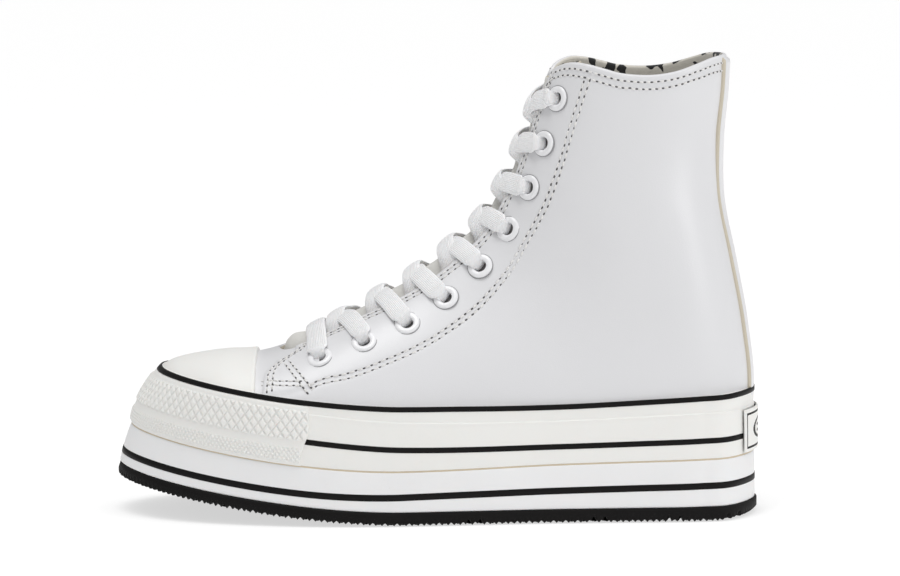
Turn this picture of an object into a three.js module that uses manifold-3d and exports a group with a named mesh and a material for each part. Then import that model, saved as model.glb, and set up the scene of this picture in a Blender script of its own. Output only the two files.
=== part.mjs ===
// Platform high-top sneaker, left shoe, standing empty on its sole.
// Millimetres. +X points to the toe, +Y to the outer side of the foot, +Z up, the ground is z = 0.
import * as THREE from 'three';
import { mergeVertices } from 'three/addons/utils/BufferGeometryUtils.js';
import Module from 'manifold-3d';

const wasm = await Module();
wasm.setup();

// ---------------------------------------------------------------- driving sizes
const SOLE_LENGTH = 273.3;        // outsole, heel to toe
const SOLE_CENTRE = 0.75;         // middle of the outsole along X
const HEEL_RADIUS = 39;           // how round the sole is at its two ends
const TOE_RADIUS = 38;
const TOE_MIDDLE = -4.6;          // the toe tip lies towards the inner side
const SPRING_START = 16;          // toe spring: rise = SPRING_RISE at the tip
const SPRING_RISE = 15.6;
const SPRING_POWER = 1.62;
const HEEL_BEVEL = 1.2;           // the outsole lifts this much at the back edge
const WALL = 2.4;                 // leather and lining of the upper
const GAP = 0.3;                  // between pieces that touch
const FOXING_REACH = 26;          // the foxing ring is cut out of a band this deep
const GROOVE_DEPTH = 1.0;         // grooves for the foxing's stripes
const LINE_DEPTH = 1.6;           // groove for the platform's stripe
const TONGUE_WALL = 3.0;
const TONGUE_DEPTH = 4.7;         // tongue below the upper's face, under the facings
const TONGUE_HALF = 25;           // half width of the tongue, along its face
const TONGUE_START = 5.45;        // sections of its two ends
const TONGUE_TOP = 17.3;
const TONGUE_DIP = 0.6;           // the corners of its top stand higher than the middle
const INSOLE_WALL = 4.0;
const CAP_WALL = 1.5;             // rubber toe cap
const CAP_EDGE = 76.5;            // X of the toe cap's back edge
const STAY_WALL = 1.2;            // leather strip up the heel
const STAY_HALF = 12;
const STAY_TOP = 192.5;           // just below the collar's edge
const STAY_FRONT = -105;
const EYELET_COUNT = 9;
const EYELET_PITCH = 19.75;
const EYELET_OUTER = 5.3;         // radii of the ring
const EYELET_HOLE = 2.6;
const EYELET_PROUD = 0.9;
const LACE_WIDTH = 8.4;
const LACE_WALL = 1.8;
const STATIONS = 38;              // round the sole
const LOFT_STEPS = 25;            // along the upper
const LOFT_SIDES = 24;            // round each of its sections
const LOFT_START = 0.12;          // section where the toe end of the loft is closed
const LAST_SECTION = 19;
const FAR = 150;                  // beyond the shoe on every side

// Plan of the outsole: middle line and half width at each place along the foot.
const PLAN = [
  { x: -125.6, middle: -0.6, half: 30.2 },
  { x: -112, middle: -0.5, half: 35.8 },
  { x: -87, middle: 0.4, half: 37.2 },
  { x: -52, middle: 2.2, half: 37.6 },
  { x: -18, middle: 2.8, half: 41.6 },
  { x: 16, middle: 2.0, half: 47.0 },
  { x: 46, middle: 0.2, half: 50.0 },
  { x: 72, middle: -1.5, half: 48.8 },
  { x: 94, middle: -2.6, half: 44.6 },
  { x: 111, middle: -3.6, half: 38.2 },
  { x: 124, middle: -4.2, half: 28.8 },
];

// Heights of the layers above the (sprung) ground line.
// tread: outsole top. line: lower black stripe. seam: platform top. band: middle black stripe.
const LEVELS = [
  { x: -137, tread: 6.4, line: 14.0, seam: 26.7, band: 33.6, ledge: 46.2, rim: 54.0 },
  { x: -107, tread: 6.2, line: 13.5, seam: 26.0, band: 32.7, ledge: 45.2, rim: 52.6 },
  { x: -50, tread: 5.9, line: 12.3, seam: 24.6, band: 31.1, ledge: 42.8, rim: 49.9 },
  { x: 0, tread: 5.8, line: 11.1, seam: 23.0, band: 30.6, ledge: 42.8, rim: 49.9 },
  { x: 55, tread: 5.7, line: 9.8, seam: 22.6, band: 32.0, ledge: 44.6, rim: 50.4 },
  { x: 137, tread: 5.6, line: 9.6, seam: 22.8, band: 33.0, ledge: 45.0, rim: 50.0 },
];
const LINE_HEIGHT = 3.0;
const BAND_HEIGHT = 2.5;
const PIN_HEIGHT = 2.1;

// How far each height of the side wall stands inside the outsole's edge.
const LEAN = {
  side: { foot: 0.4, seam: 1.2, rim: 2.6 },
  heel: { foot: 0.8, seam: 1.2, rim: 1.4 },
  toe: { foot: 0.9, seam: 6.5, rim: 19.1 },
};

// Sections of the upper, from the toe tip round the instep to above the collar.
// Each lies between a point on the ridge (top) and one on the bottom or the back (low),
// is widest at the share `belly` of the way up, and has the half widths `outer` and `inner`.
// crown and keel say how full it is above and below the belly (2 is an ellipse).
const SECTIONS = [
  { topX: 121.5, topZ: 49, lowX: 121.5, lowZ: 49,
    outer: 0, inner: 0, middle: -4.4, belly: 0.5, crown: 2.2, keel: 2.4 },
  { topX: 119, topZ: 57.0, lowX: 119, lowZ: 37,
    outer: 12.5, inner: 12.5, middle: -4.2, belly: 0.5, crown: 2.2, keel: 2.4 },
  { topX: 113.5, topZ: 61.9, lowX: 113.5, lowZ: 30,
    outer: 22, inner: 22, middle: -4, belly: 0.52, crown: 2.2, keel: 2.5 },
  { topX: 104.5, topZ: 64.5, lowX: 104.5, lowZ: 24,
    outer: 31, inner: 31, middle: -3.4, belly: 0.54, crown: 2.2, keel: 2.6 },
  { topX: 91, topZ: 66.4, lowX: 91, lowZ: 20,
    outer: 38.5, inner: 38.5, middle: -2.6, belly: 0.56, crown: 2.25, keel: 2.8 },
  { topX: 76, topZ: 67.4, lowX: 76, lowZ: 17,
    outer: 42.4, inner: 42.4, middle: -1.7, belly: 0.56, crown: 2.25, keel: 3 },
  { topX: 61.5, topZ: 72.2, lowX: 58, lowZ: 15.5,
    outer: 44.0, inner: 44.0, middle: -0.8, belly: 0.52, crown: 2.1, keel: 3 },
  { topX: 46, topZ: 80.0, lowX: 36, lowZ: 15,
    outer: 44.2, inner: 43.2, middle: 0, belly: 0.46, crown: 2.0, keel: 3 },
  { topX: 28, topZ: 90.3, lowX: 8, lowZ: 15,
    outer: 42.5, inner: 40, middle: 0.4, belly: 0.41, crown: 1.9, keel: 3 },
  { topX: 10, topZ: 101.4, lowX: -26, lowZ: 15,
    outer: 38.5, inner: 35.5, middle: 0.6, belly: 0.38, crown: 1.85, keel: 3 },
  { topX: -6, topZ: 114.0, lowX: -62, lowZ: 15,
    outer: 35.5, inner: 32.6, middle: 0.5, belly: 0.37, crown: 1.85, keel: 2.9 },
  { topX: -17.5, topZ: 124.6, lowX: -98, lowZ: 16,
    outer: 34, inner: 32.4, middle: 0.3, belly: 0.38, crown: 1.9, keel: 2.8 },
  { topX: -24.3, topZ: 134.6, lowX: -126, lowZ: 23,
    outer: 33.4, inner: 32.6, middle: 0, belly: 0.4, crown: 2.05, keel: 2.6 },
  { topX: -29.6, topZ: 144.4, lowX: -132.6, lowZ: 51,
    outer: 33, inner: 32.6, middle: 0, belly: 0.41, crown: 2.15, keel: 2.3 },
  { topX: -33.8, topZ: 153.6, lowX: -130.2, lowZ: 80,
    outer: 32.4, inner: 32.2, middle: 0, belly: 0.43, crown: 2.25, keel: 2.2 },
  { topX: -37.3, topZ: 162.6, lowX: -125.2, lowZ: 107,
    outer: 31.4, inner: 31.4, middle: 0, belly: 0.45, crown: 2.3, keel: 2.15 },
  { topX: -40.4, topZ: 171.6, lowX: -119.8, lowZ: 134,
    outer: 30.6, inner: 30.6, middle: 0, belly: 0.47, crown: 2.3, keel: 2.1 },
  { topX: -43.8, topZ: 182.0, lowX: -119.4, lowZ: 159,
    outer: 30.2, inner: 30.2, middle: 0, belly: 0.48, crown: 2.3, keel: 2.1 },
  { topX: -47.4, topZ: 193.6, lowX: -121.4, lowZ: 182,
    outer: 30, inner: 30, middle: 0, belly: 0.48, crown: 2.3, keel: 2.1 },
  { topX: -51.6, topZ: 207, lowX: -122.2, lowZ: 207,
    outer: 30, inner: 30, middle: 0, belly: 0.48, crown: 2.3, keel: 2.1 },
].map((row, section) => ({ section, ...row }));

// Top edge of the upper, from the front corners of the facings to the back of the collar.
const COLLAR = [
  { x: -30, z: 150 }, { x: -41.4, z: 178.5 }, { x: -44.5, z: 184.6 }, { x: -49, z: 189.0 },
  { x: -55, z: 191.4 }, { x: -62, z: 190.9 }, { x: -69, z: 189.2 }, { x: -76, z: 187.4 },
  { x: -85, z: 186.6 }, { x: -93, z: 186.9 }, { x: -101, z: 188.3 }, { x: -109, z: 190.8 },
  { x: -117, z: 193.2 }, { x: -130, z: 194.2 },
];

// The throat: half of the opening between the facings, how far the tongue's crest stands out of
// (or below) the upper's face, and the distance of the eyelets from the ridge.
const THROAT = [
  { section: 5.56, half: 0, crest: -4.7, hole: 31.8 },
  { section: 5.68, half: 8, crest: -2, hole: 31.8 },
  { section: 5.86, half: 12.2, crest: 1.6, hole: 31.8 },
  { section: 6.12, half: 14, crest: 3.2, hole: 31.8 },
  { section: 6.45, half: 14.8, crest: 1.2, hole: 32 },
  { section: 6.75, half: 15, crest: -0.5, hole: 32.3 },
  { section: 7.6, half: 15, crest: -0.6, hole: 32.3 },
  { section: 8.5, half: 14.8, crest: -0.7, hole: 31 },
  { section: 9.4, half: 13.8, crest: -0.8, hole: 27.5 },
  { section: 10.4, half: 12, crest: -0.9, hole: 23.8 },
  { section: 11.5, half: 10.4, crest: -0.9, hole: 21.3 },
  { section: 13, half: 9.8, crest: -1, hole: 21.4 },
  { section: 19, half: 8.6, crest: -1, hole: 21.8 },
];
const FIRST_EYELET = 6.72;        // section that runs through the first pair

// ---------------------------------------------------------------- curves through the tables
const clamp01 = (t) => Math.min(1, Math.max(0, t));
const mix = (a, b, t) => a + (b - a) * t;

// Smooth curve through one column: cubic pieces, with the slope at a row from its two neighbours.
function through(rows, key, column) {
  const last = rows.length - 1;
  const slope = rows.map((_, i) => {
    const before = rows[Math.max(i - 1, 0)];
    const after = rows[Math.min(i + 1, last)];
    return (after[column] - before[column]) / (after[key] - before[key]);
  });
  return (t) => {
    let i = 0;
    while (i < last - 1 && t > rows[i + 1][key]) i += 1;
    const step = rows[i + 1][key] - rows[i][key];
    const s = clamp01((t - rows[i][key]) / step);
    const h = s * s * (3 - 2 * s);
    const leave = s * (1 - s) * (1 - s) * step * slope[i];
    const arrive = s * s * (1 - s) * step * slope[i + 1];
    return mix(rows[i][column], rows[i + 1][column], h) + leave - arrive;
  };
}

// ---------------------------------------------------------------- plan and heights of the sole
const HALF_LENGTH = SOLE_LENGTH / 2;
const ellipse = (x) => Math.sqrt(1 - (x / HALF_LENGTH) ** 2);
const planRows = [
  { x: -HALF_LENGTH, middle: 0, ratio: Math.sqrt(HEEL_RADIUS * HALF_LENGTH) },
  ...PLAN.map(({ x, middle, half }) => ({ x, middle, ratio: half / ellipse(x) })),
  { x: HALF_LENGTH, middle: TOE_MIDDLE, ratio: Math.sqrt(TOE_RADIUS * HALF_LENGTH) },
];
const planMiddle = through(planRows, 'x', 'middle');
const planRatio = through(planRows, 'x', 'ratio');

// Point of the outsole's edge at an angle: 0 is the toe tip, the outer side comes first.
function soleEdge(angle) {
  const x = HALF_LENGTH * Math.cos(angle);
  return new THREE.Vector2(SOLE_CENTRE + x, planMiddle(x) + planRatio(x) * Math.sin(angle));
}

// The same edge moved inwards by `inset`, square to itself.
function edgeInside(angle, inset) {
  const along = soleEdge(angle + 1e-3).sub(soleEdge(angle - 1e-3)).normalize();
  return soleEdge(angle).add(new THREE.Vector2(-along.y, along.x).multiplyScalar(inset));
}

const TIP_X = 136.9;
const spring = (x) => SPRING_RISE * clamp01((x - SPRING_START) / (TIP_X - SPRING_START)) ** SPRING_POWER;
const heelBevel = (x) => HEEL_BEVEL * clamp01((-112 - x) / 24) ** 2;
const level = {};
for (const name of Object.keys(LEVELS[0])) {
  if (name !== 'x') level[name] = through(LEVELS, 'x', name);
}

const toeShare = (x) => clamp01((x - 62) / 75) ** 1.6;
const heelShare = (x) => clamp01((-100 - x) / 36) ** 1.5;
const leanAt = (name, x) => {
  const side = mix(LEAN.side[name], LEAN.heel[name], heelShare(x));
  return mix(side, LEAN.toe[name], toeShare(x));
};

// Inset of the side wall at height z above the sprung ground line.
function wallInset(x, z) {
  const seam = level.seam(x);
  if (z < seam) return mix(leanAt('foot', x), leanAt('seam', x), (z / seam) ** 1.5);
  return mix(leanAt('seam', x), leanAt('rim', x), ((z - seam) / (level.rim(x) - seam)) ** 1.6);
}

// ---------------------------------------------------------------- closed bodies from rows of points
// Rows are closed rings of points. A loop of rows makes a ring-shaped body, else both ends are
// closed by a ladder between the two sides of the ring.
function body(rows, loop = false) {
  const count = rows[0].length;
  const positions = rows.flat().flatMap((p) => [p.x, p.y, p.z]);
  const index = [];
  const quad = (a, b, c, d) => index.push(a, b, c, a, c, d);
  const spans = loop ? rows.length : rows.length - 1;
  for (let i = 0; i < spans; i += 1) {
    const next = (i + 1) % rows.length;
    for (let j = 0; j < count; j += 1) {
      const k = (j + 1) % count;
      quad(i * count + j, i * count + k, next * count + k, next * count + j);
    }
  }
  if (!loop) {
    const end = (rows.length - 1) * count;
    for (let j = 0; j < count / 2 - 1; j += 1) {
      const far = count - 1 - j;
      quad(j, far, far - 1, j + 1);
      quad(end + j, end + j + 1, end + far - 1, end + far);
    }
  }
  const geometry = new THREE.BufferGeometry();
  geometry.setAttribute('position', new THREE.Float32BufferAttribute(positions, 3));
  geometry.setIndex(index);
  return outward(geometry);
}

// Turns the faces round if the body is inside out.
function outward(geometry) {
  const p = geometry.getAttribute('position');
  const index = geometry.getIndex().array;
  const [a, b, c] = [new THREE.Vector3(), new THREE.Vector3(), new THREE.Vector3()];
  let volume = 0;
  for (let i = 0; i < index.length; i += 3) {
    a.fromBufferAttribute(p, index[i]);
    b.fromBufferAttribute(p, index[i + 1]);
    c.fromBufferAttribute(p, index[i + 2]);
    volume += a.dot(b.cross(c));
  }
  if (volume < 0) {
    const turned = Array.from(index);
    for (let i = 0; i < turned.length; i += 3) [turned[i], turned[i + 1]] = [turned[i + 1], turned[i]];
    geometry.setIndex(turned);
  }
  return geometry;
}

function solid(geometry) {
  const plain = geometry.clone();
  plain.deleteAttribute('normal');
  plain.deleteAttribute('uv');
  const merged = mergeVertices(plain, 1e-4);
  return new wasm.Manifold(new wasm.Mesh({
    numProp: 3,
    vertProperties: Float32Array.from(merged.getAttribute('position').array),
    triVerts: Uint32Array.from(merged.getIndex().array),
  }));
}

function geometryOf(shape) {
  const mesh = shape.getMesh();
  const geometry = new THREE.BufferGeometry();
  geometry.setAttribute('position', new THREE.BufferAttribute(Float32Array.from(mesh.vertProperties), 3));
  geometry.setIndex(new THREE.BufferAttribute(Uint32Array.from(mesh.triVerts), 1));
  return geometry;
}

// The largest piece of a cut body, without the crumbs that the cut leaves.
function largest(shape) {
  const pieces = shape.decompose().sort((a, b) => b.volume() - a.volume());
  return geometryOf(pieces[0]);
}

const stationAngles = Array.from({ length: STATIONS }, (_, i) => (2 * Math.PI * (i + 0.5)) / STATIONS);

// Plate with the sole's plan: one ring of points for each { z(x), inset(x) } of the profile.
// z is above the sprung ground line.
function plate(profile) {
  return body(profile.map(({ z, inset }) => stationAngles.map((angle) => {
    const { x } = soleEdge(angle);
    const edge = edgeInside(angle, inset(x));
    return new THREE.Vector3(edge.x, edge.y, z(edge.x) + spring(edge.x));
  })));
}

// Band round the sole: a closed profile of { z(x), inset(x) } carried along the edge, all the way
// round, or between two angles.
function band(profile, from, to) {
  const whole = from === undefined;
  const turns = [...stationAngles.map((angle) => angle - 2 * Math.PI), ...stationAngles];
  const within = turns.filter((angle) => angle > from + 0.02 && angle < to - 0.02);
  const angles = whole ? stationAngles : [from, ...within, to];
  return body(angles.map((angle) => profile.map(({ z, inset }) => {
    const { x } = soleEdge(angle);
    const edge = edgeInside(angle, inset(x));
    return new THREE.Vector3(edge.x, edge.y, z(edge.x) + spring(edge.x));
  })), whole);
}

// Prism across the whole shoe from an outline in X and Z.
function across(outline) {
  const shape = new THREE.Shape(outline.map(({ x, z }) => new THREE.Vector2(x, z)));
  const geometry = new THREE.ExtrudeGeometry(shape, { depth: 2 * FAR, bevelEnabled: false });
  return geometry.rotateX(Math.PI / 2).translate(0, FAR, 0);
}

// ---------------------------------------------------------------- the upper's surface
const TIP = SECTIONS[0];
const second = SECTIONS[1];
const mirrored = {
  ...second,
  section: -1,
  topZ: second.lowZ,
  lowZ: second.topZ,
  outer: -second.outer,
  inner: -second.inner,
};
const sectionCurve = {};
for (const name of Object.keys(TIP)) {
  if (name !== 'section') sectionCurve[name] = through([mirrored, ...SECTIONS], 'section', name);
}

// Point of the upper: `section` runs along the table, `angle` round the section from the ridge,
// with the outer side first. Each quarter is a superellipse between the belly and the end.
function facePoint(section, angle) {
  const at = (name) => sectionCurve[name](section);
  const [cos, sin] = [Math.cos(angle), Math.sin(angle)];
  const power = 2 / (cos >= 0 ? at('crown') : at('keel'));
  const reach = Math.abs(cos) ** power;
  const belly = at('belly');
  const share = cos >= 0 ? belly + (1 - belly) * reach : belly * (1 - reach);
  const width = Math.abs(sin) ** power * (sin >= 0 ? at('outer') : -at('inner'));
  return new THREE.Vector3(
    mix(at('lowX'), at('topX'), share),
    at('middle') + width,
    mix(at('lowZ'), at('topZ'), share),
  );
}

function faceNormal(section, angle) {
  const d = 0.02;
  const around = facePoint(section, angle + d).sub(facePoint(section, angle - d));
  const along = facePoint(section + d, angle).sub(facePoint(section - d, angle));
  return around.cross(along).normalize();
}

const facePlus = (section, angle, out) => facePoint(section, angle)
  .addScaledVector(faceNormal(section, angle), out);

// The whole form of the foot, grown outwards (or inwards) by `out`.
function form(out) {
  const rows = [];
  for (let i = 0; i <= LOFT_STEPS; i += 1) {
    const section = mix(LOFT_START, LAST_SECTION, i / LOFT_STEPS);
    const ring = [];
    for (let j = 0; j < LOFT_SIDES; j += 1) {
      ring.push(facePlus(section, (2 * Math.PI * (j + 0.5)) / LOFT_SIDES, out));
    }
    rows.push(ring);
  }
  return solid(body(rows));
}

// Angle round a section at a distance `away` from the ridge, measured along the face.
function angleAway(section, away) {
  const side = Math.sign(away) || 1;
  const step = 0.03;
  let angle = 0;
  let walked = 0;
  let here = facePoint(section, 0);
  while (walked < Math.abs(away) && angle < 2.4) {
    const next = facePoint(section, side * (angle + step));
    const reach = next.distanceTo(here);
    if (walked + reach > Math.abs(away)) {
      return side * (angle + (step * (Math.abs(away) - walked)) / reach);
    }
    walked += reach;
    angle += step;
    here = next;
  }
  return side * angle;
}

const throatPoint = (section, away, out) => facePlus(section, angleAway(section, away), out);
const throatHalf = through(THROAT, 'section', 'half');
const throatCrest = through(THROAT, 'section', 'crest');
const holeAway = through(THROAT, 'section', 'hole');

// Sheet over the throat region: `sectionAt` and `awayAt` give its grid, `outer` and `inner` its two
// faces, measured from the upper's face.
function sheet(rowCount, columnCount, { sectionAt, awayAt, outer, inner }) {
  const rows = [];
  for (let i = 0; i <= rowCount; i += 1) {
    const points = { over: [], under: [] };
    for (let j = 0; j <= columnCount; j += 1) {
      const [t, s] = [i / rowCount, mix(-1, 1, j / columnCount)];
      const section = sectionAt(t, s);
      const away = awayAt(section, s);
      points.over.push(throatPoint(section, away, outer(section, away)));
      points.under.push(throatPoint(section, away, inner(section, away)));
    }
    rows.push([...points.over, ...points.under.reverse()]);
  }
  return body(rows);
}

// ---------------------------------------------------------------- the pieces
const COLOURS = {
  leather: 0xe6e7ec, rubber: 0xf1f0ec, black: 0x232120, lining: 0xd9d6cf, lace: 0xebeaf0,
};
const shoe = new THREE.Group();
shoe.name = 'platform_sneaker';

function add(name, geometry, colour) {
  const material = new THREE.MeshStandardMaterial({ color: COLOURS[colour], roughness: 0.6, metalness: 0 });
  const mesh = new THREE.Mesh(geometry, material);
  mesh.name = name;
  shoe.add(mesh);
}

const always = (value) => () => value;
const wallAt = (height, more = 0) => (x) => wallInset(x, height(x)) + more;
const above = (name, rise) => (x) => level[name](x) + rise;

// Outsole: black tread with a chamfered edge and the cross grooves that show in its side.
const GROOVES = [-124.8, -99.6, -68, -15.6];
const GROOVE = { width: 2.2, depth: 2.4 };
function outsole() {
  const slab = plate([
    { z: heelBevel, inset: always(1.6) },
    { z: (x) => heelBevel(x) + 1.2, inset: (x) => 0.9 * toeShare(x) },
    { z: above('tread', 0), inset: (x) => 1.9 * toeShare(x) + 0.2 },
  ]);
  const grooves = GROOVES.map((x) => {
    const slot = new THREE.BoxGeometry(GROOVE.width, 2 * FAR, 2 * (GROOVE.depth + heelBevel(x)));
    return solid(slot.translate(x, 0, 0));
  });
  return geometryOf(grooves.reduce((shape, groove) => shape.subtract(groove), solid(slab)));
}

// Platform: the white block between the tread and the foxing, with a groove for its black line.
function platform() {
  const low = above('line', -GAP);
  const high = above('line', LINE_HEIGHT + GAP);
  return plate([
    { z: above('tread', GAP), inset: wallAt(above('tread', 0)) },
    { z: low, inset: wallAt(low) },
    { z: low, inset: wallAt(low, LINE_DEPTH) },
    { z: high, inset: wallAt(high, LINE_DEPTH) },
    { z: high, inset: wallAt(high) },
    { z: above('seam', 0), inset: wallAt(above('seam', 0)) },
  ]);
}

// Flat black strip let into the wall, standing a little proud of it.
const PROUD = 0.15;
const STRIP_DEPTH = 0.7;
function strip(name, height, span) {
  const [low, high] = [above(name, 0), above(name, height)];
  const profile = [
    { z: low, inset: wallAt(low, -PROUD) },
    { z: high, inset: wallAt(high, -PROUD) },
    { z: high, inset: wallAt(high, STRIP_DEPTH) },
    { z: low, inset: wallAt(low, STRIP_DEPTH) },
  ];
  return span ? band(profile, ...span) : band(profile);
}

// Angles of the places where the toe bumper and the heel patch end.
const angleOfX = (x) => Math.acos((x - SOLE_CENTRE) / HALF_LENGTH);
const BUMPER_END = angleOfX(54);
const PATCH_END = angleOfX(-129.6);
const BUMPER_WALL = 1.7;
const PATCH_PROUD = 1.6;

function bumper(more) {
  const low = above('seam', GAP);
  const high = above('rim', -PIN_HEIGHT - GAP);
  const between = (t) => (x) => mix(low(x), high(x), t);
  const shares = [0, 0.25, 0.5, 0.75, 1];
  const outside = (x) => -0.6 * (1 - toeShare(x)) - more;
  const outer = shares.map((t) => ({
    z: (x) => between(t)(x) + (t === 0 ? -more : 0) + (t === 1 ? more : 0),
    inset: (x) => wallInset(x, between(t)(x)) + outside(x),
  }));
  const inner = [...outer].reverse().map(({ z, inset }) => ({
    z,
    inset: (x) => inset(x) + BUMPER_WALL + 2 * more,
  }));
  const turn = more / 50;
  return band([...outer, ...inner], -BUMPER_END - turn, BUMPER_END + turn);
}

// Foxing: rubber band round the upper, with the middle stripe's groove, the ledge and the rebate
// of the pinstripe at its rim. The foot's form is cut out of it.
function foxing(outsideForm) {
  const low = above('band', -GAP);
  const high = above('band', BAND_HEIGHT + GAP);
  const pin = above('rim', -PIN_HEIGHT - GAP);
  const deep = always(FOXING_REACH);
  const ring = band([
    { z: above('seam', GAP), inset: wallAt(above('seam', GAP)) },
    { z: low, inset: wallAt(low) },
    { z: low, inset: wallAt(low, GROOVE_DEPTH) },
    { z: high, inset: wallAt(high, GROOVE_DEPTH) },
    { z: high, inset: wallAt(high) },
    { z: above('ledge', 0), inset: wallAt(above('ledge', 0), -0.1) },
    { z: above('ledge', 0.5), inset: wallAt(above('ledge', 0), 0.5) },
    { z: pin, inset: wallAt(pin) },
    { z: pin, inset: wallAt(pin, GROOVE_DEPTH) },
    { z: above('rim', 0), inset: wallAt(above('rim', 0), GROOVE_DEPTH) },
    { z: above('rim', 0), inset: deep },
    { z: above('seam', GAP), inset: deep },
  ]);
  return largest(solid(ring).subtract(solid(bumper(GAP))).subtract(outsideForm));
}

function pinstripe() {
  const [low, high] = [above('rim', -PIN_HEIGHT), above('rim', 0)];
  return band([
    { z: low, inset: wallAt(low, -PROUD) },
    { z: high, inset: wallAt(high, -0.05) },
    { z: high, inset: wallAt(high, STRIP_DEPTH) },
    { z: low, inset: wallAt(low, STRIP_DEPTH) },
  ]);
}

// Badge on the heel: a plain raised plate.
function heelPatch() {
  const [low, high] = [above('seam', 0.8), above('ledge', -0.4)];
  return band([
    { z: low, inset: wallAt(low, -PATCH_PROUD) },
    { z: high, inset: wallAt(high, -PATCH_PROUD) },
    { z: high, inset: wallAt(high, -GAP) },
    { z: low, inset: wallAt(low, -GAP) },
  ], PATCH_END, 2 * Math.PI - PATCH_END);
}

// Everything below a layer's height, as a cutter.
function below(height) {
  const steps = 56;
  const line = Array.from({ length: steps + 1 }, (_, i) => {
    const x = mix(-FAR, FAR, i / steps);
    return { x, z: height(x) + spring(x) };
  });
  return solid(across([{ x: -FAR, z: -FAR }, ...line, { x: FAR, z: -FAR }]));
}

// Cutter for the opening between the facings, narrowed by `margin` on each side.
const throatCutter = (margin) => solid(sheet(24, 4, {
  sectionAt: (t) => mix(THROAT[0].section + 0.01, LAST_SECTION, t ** 1.5),
  awayAt: (section, s) => s * Math.max(throatHalf(section) - margin, 0.05),
  outer: always(6),
  inner: always(-WALL - 3),
}));

function upper() {
  const { x: frontX } = COLLAR[0];
  const { z: backZ } = COLLAR.at(-1);
  const sky = [{ x: -FAR, z: backZ }, { x: -FAR, z: 2 * FAR }, { x: frontX, z: 2 * FAR }];
  const top = solid(across([...COLLAR, ...sky]));
  const wall = form(0).subtract(form(-WALL)).subtract(below(above('seam', GAP)));
  return geometryOf(wall.subtract(throatCutter(0)).subtract(top));
}

// Tongue: under the facings it lies below the laces, and between them it bows outwards.
function tongue(more = 0) {
  const face = (section, away) => {
    const half = Math.max(throatHalf(section) - 1.2, 0.1);
    const bow = Math.abs(away) < half ? Math.cos((Math.PI * away) / (2 * half)) ** 2 : 0;
    return mix(-TONGUE_DEPTH, throatCrest(section), bow);
  };
  return sheet(18, 8, {
    sectionAt: (t, s) => mix(TONGUE_START, TONGUE_TOP + TONGUE_DIP * s * s, t),
    awayAt: (section, s) => s * TONGUE_HALF * mix(0.6, 1, clamp01((section - 5.4) / 1.6)),
    outer: (section, away) => face(section, away) + more,
    inner: (section, away) => face(section, away) - TONGUE_WALL,
  });
}

// Insole: lies on the platform, inside the upper.
function insole() {
  const slab = solid(plate([
    { z: above('seam', GAP), inset: always(2) },
    { z: above('seam', GAP + INSOLE_WALL), inset: always(2) },
  ]));
  return geometryOf(slab.intersect(form(-WALL - GAP)));
}

// Toe cap and heel strip stand proud of the upper: cut between two larger forms.
function overlay(thickness, keep) {
  const shell = form(GAP + thickness).subtract(form(GAP));
  return geometryOf(shell.intersect(keep).subtract(below(above('rim', GAP))));
}

const box = (low, high) => {
  const size = high.map((value, i) => value - low[i]);
  const geometry = new THREE.BoxGeometry(...size);
  return solid(geometry.translate(...low.map((value, i) => value + size[i] / 2)));
};

// Places of the eyelets, an even pitch apart along the facing.
function eyeletSections() {
  const places = [FIRST_EYELET];
  const at = (section) => throatPoint(section, holeAway(section), 0);
  while (places.length < EYELET_COUNT) {
    let section = places.at(-1);
    let walked = 0;
    while (walked < EYELET_PITCH) {
      walked += at(section).distanceTo(at(section + 0.01));
      section += 0.01;
    }
    places.push(section);
  }
  return places;
}

// Eyelet: a rolled ring on the facing with an open hole.
function eyelet(section, side) {
  const away = side * holeAway(section);
  const ring = new THREE.LatheGeometry([
    [EYELET_HOLE, GAP], [EYELET_OUTER, GAP], [EYELET_OUTER - 0.7, EYELET_PROUD + GAP],
    [EYELET_HOLE + 0.5, EYELET_PROUD + GAP], [EYELET_HOLE, GAP],
  ].map(([r, z]) => new THREE.Vector2(r, z)), 8);
  const angle = angleAway(section, away);
  const axis = new THREE.Vector3(0, 1, 0);
  const turn = new THREE.Quaternion().setFromUnitVectors(axis, faceNormal(section, angle));
  const { x, y, z } = facePlus(section, angle, 0.25);
  return ring.applyQuaternion(turn).translate(x, y, z);
}

// Flat strap over the throat: `route(t)` gives its section, distance from the ridge and height.
function strap(route, steps) {
  const at = (t) => {
    const { section, away, out } = route(t);
    return throatPoint(section, away, out);
  };
  const rows = [];
  for (let i = 0; i <= steps; i += 1) {
    const t = i / steps;
    const { section, away } = route(t);
    const along = at(Math.min(t + 0.02, 1)).sub(at(Math.max(t - 0.02, 0))).normalize();
    const normal = faceNormal(section, angleAway(section, away));
    const sideways = along.clone().cross(normal).normalize();
    const up = sideways.clone().cross(along);
    rows.push([[-1, -1], [1, -1], [1, 1], [-1, 1]].map(([w, h]) => at(t)
      .addScaledVector(sideways, (w * LACE_WIDTH) / 2)
      .addScaledVector(up, (h * LACE_WALL) / 2)));
  }
  return solid(body(rows));
}

// Heights of a strap's middle above the upper's face.
const UNDER = -2.1;               // where it comes out from under a facing
const OVER_TONGUE = 1.25;
const OVER_FACING = 1.7;
const OVER_EYELET = 3.1;
const LAP = 1.1;                  // the upper of two crossing straps
const RING_RUN = 11;              // a strap starts to rise this far from the eyelet's centre

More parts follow.
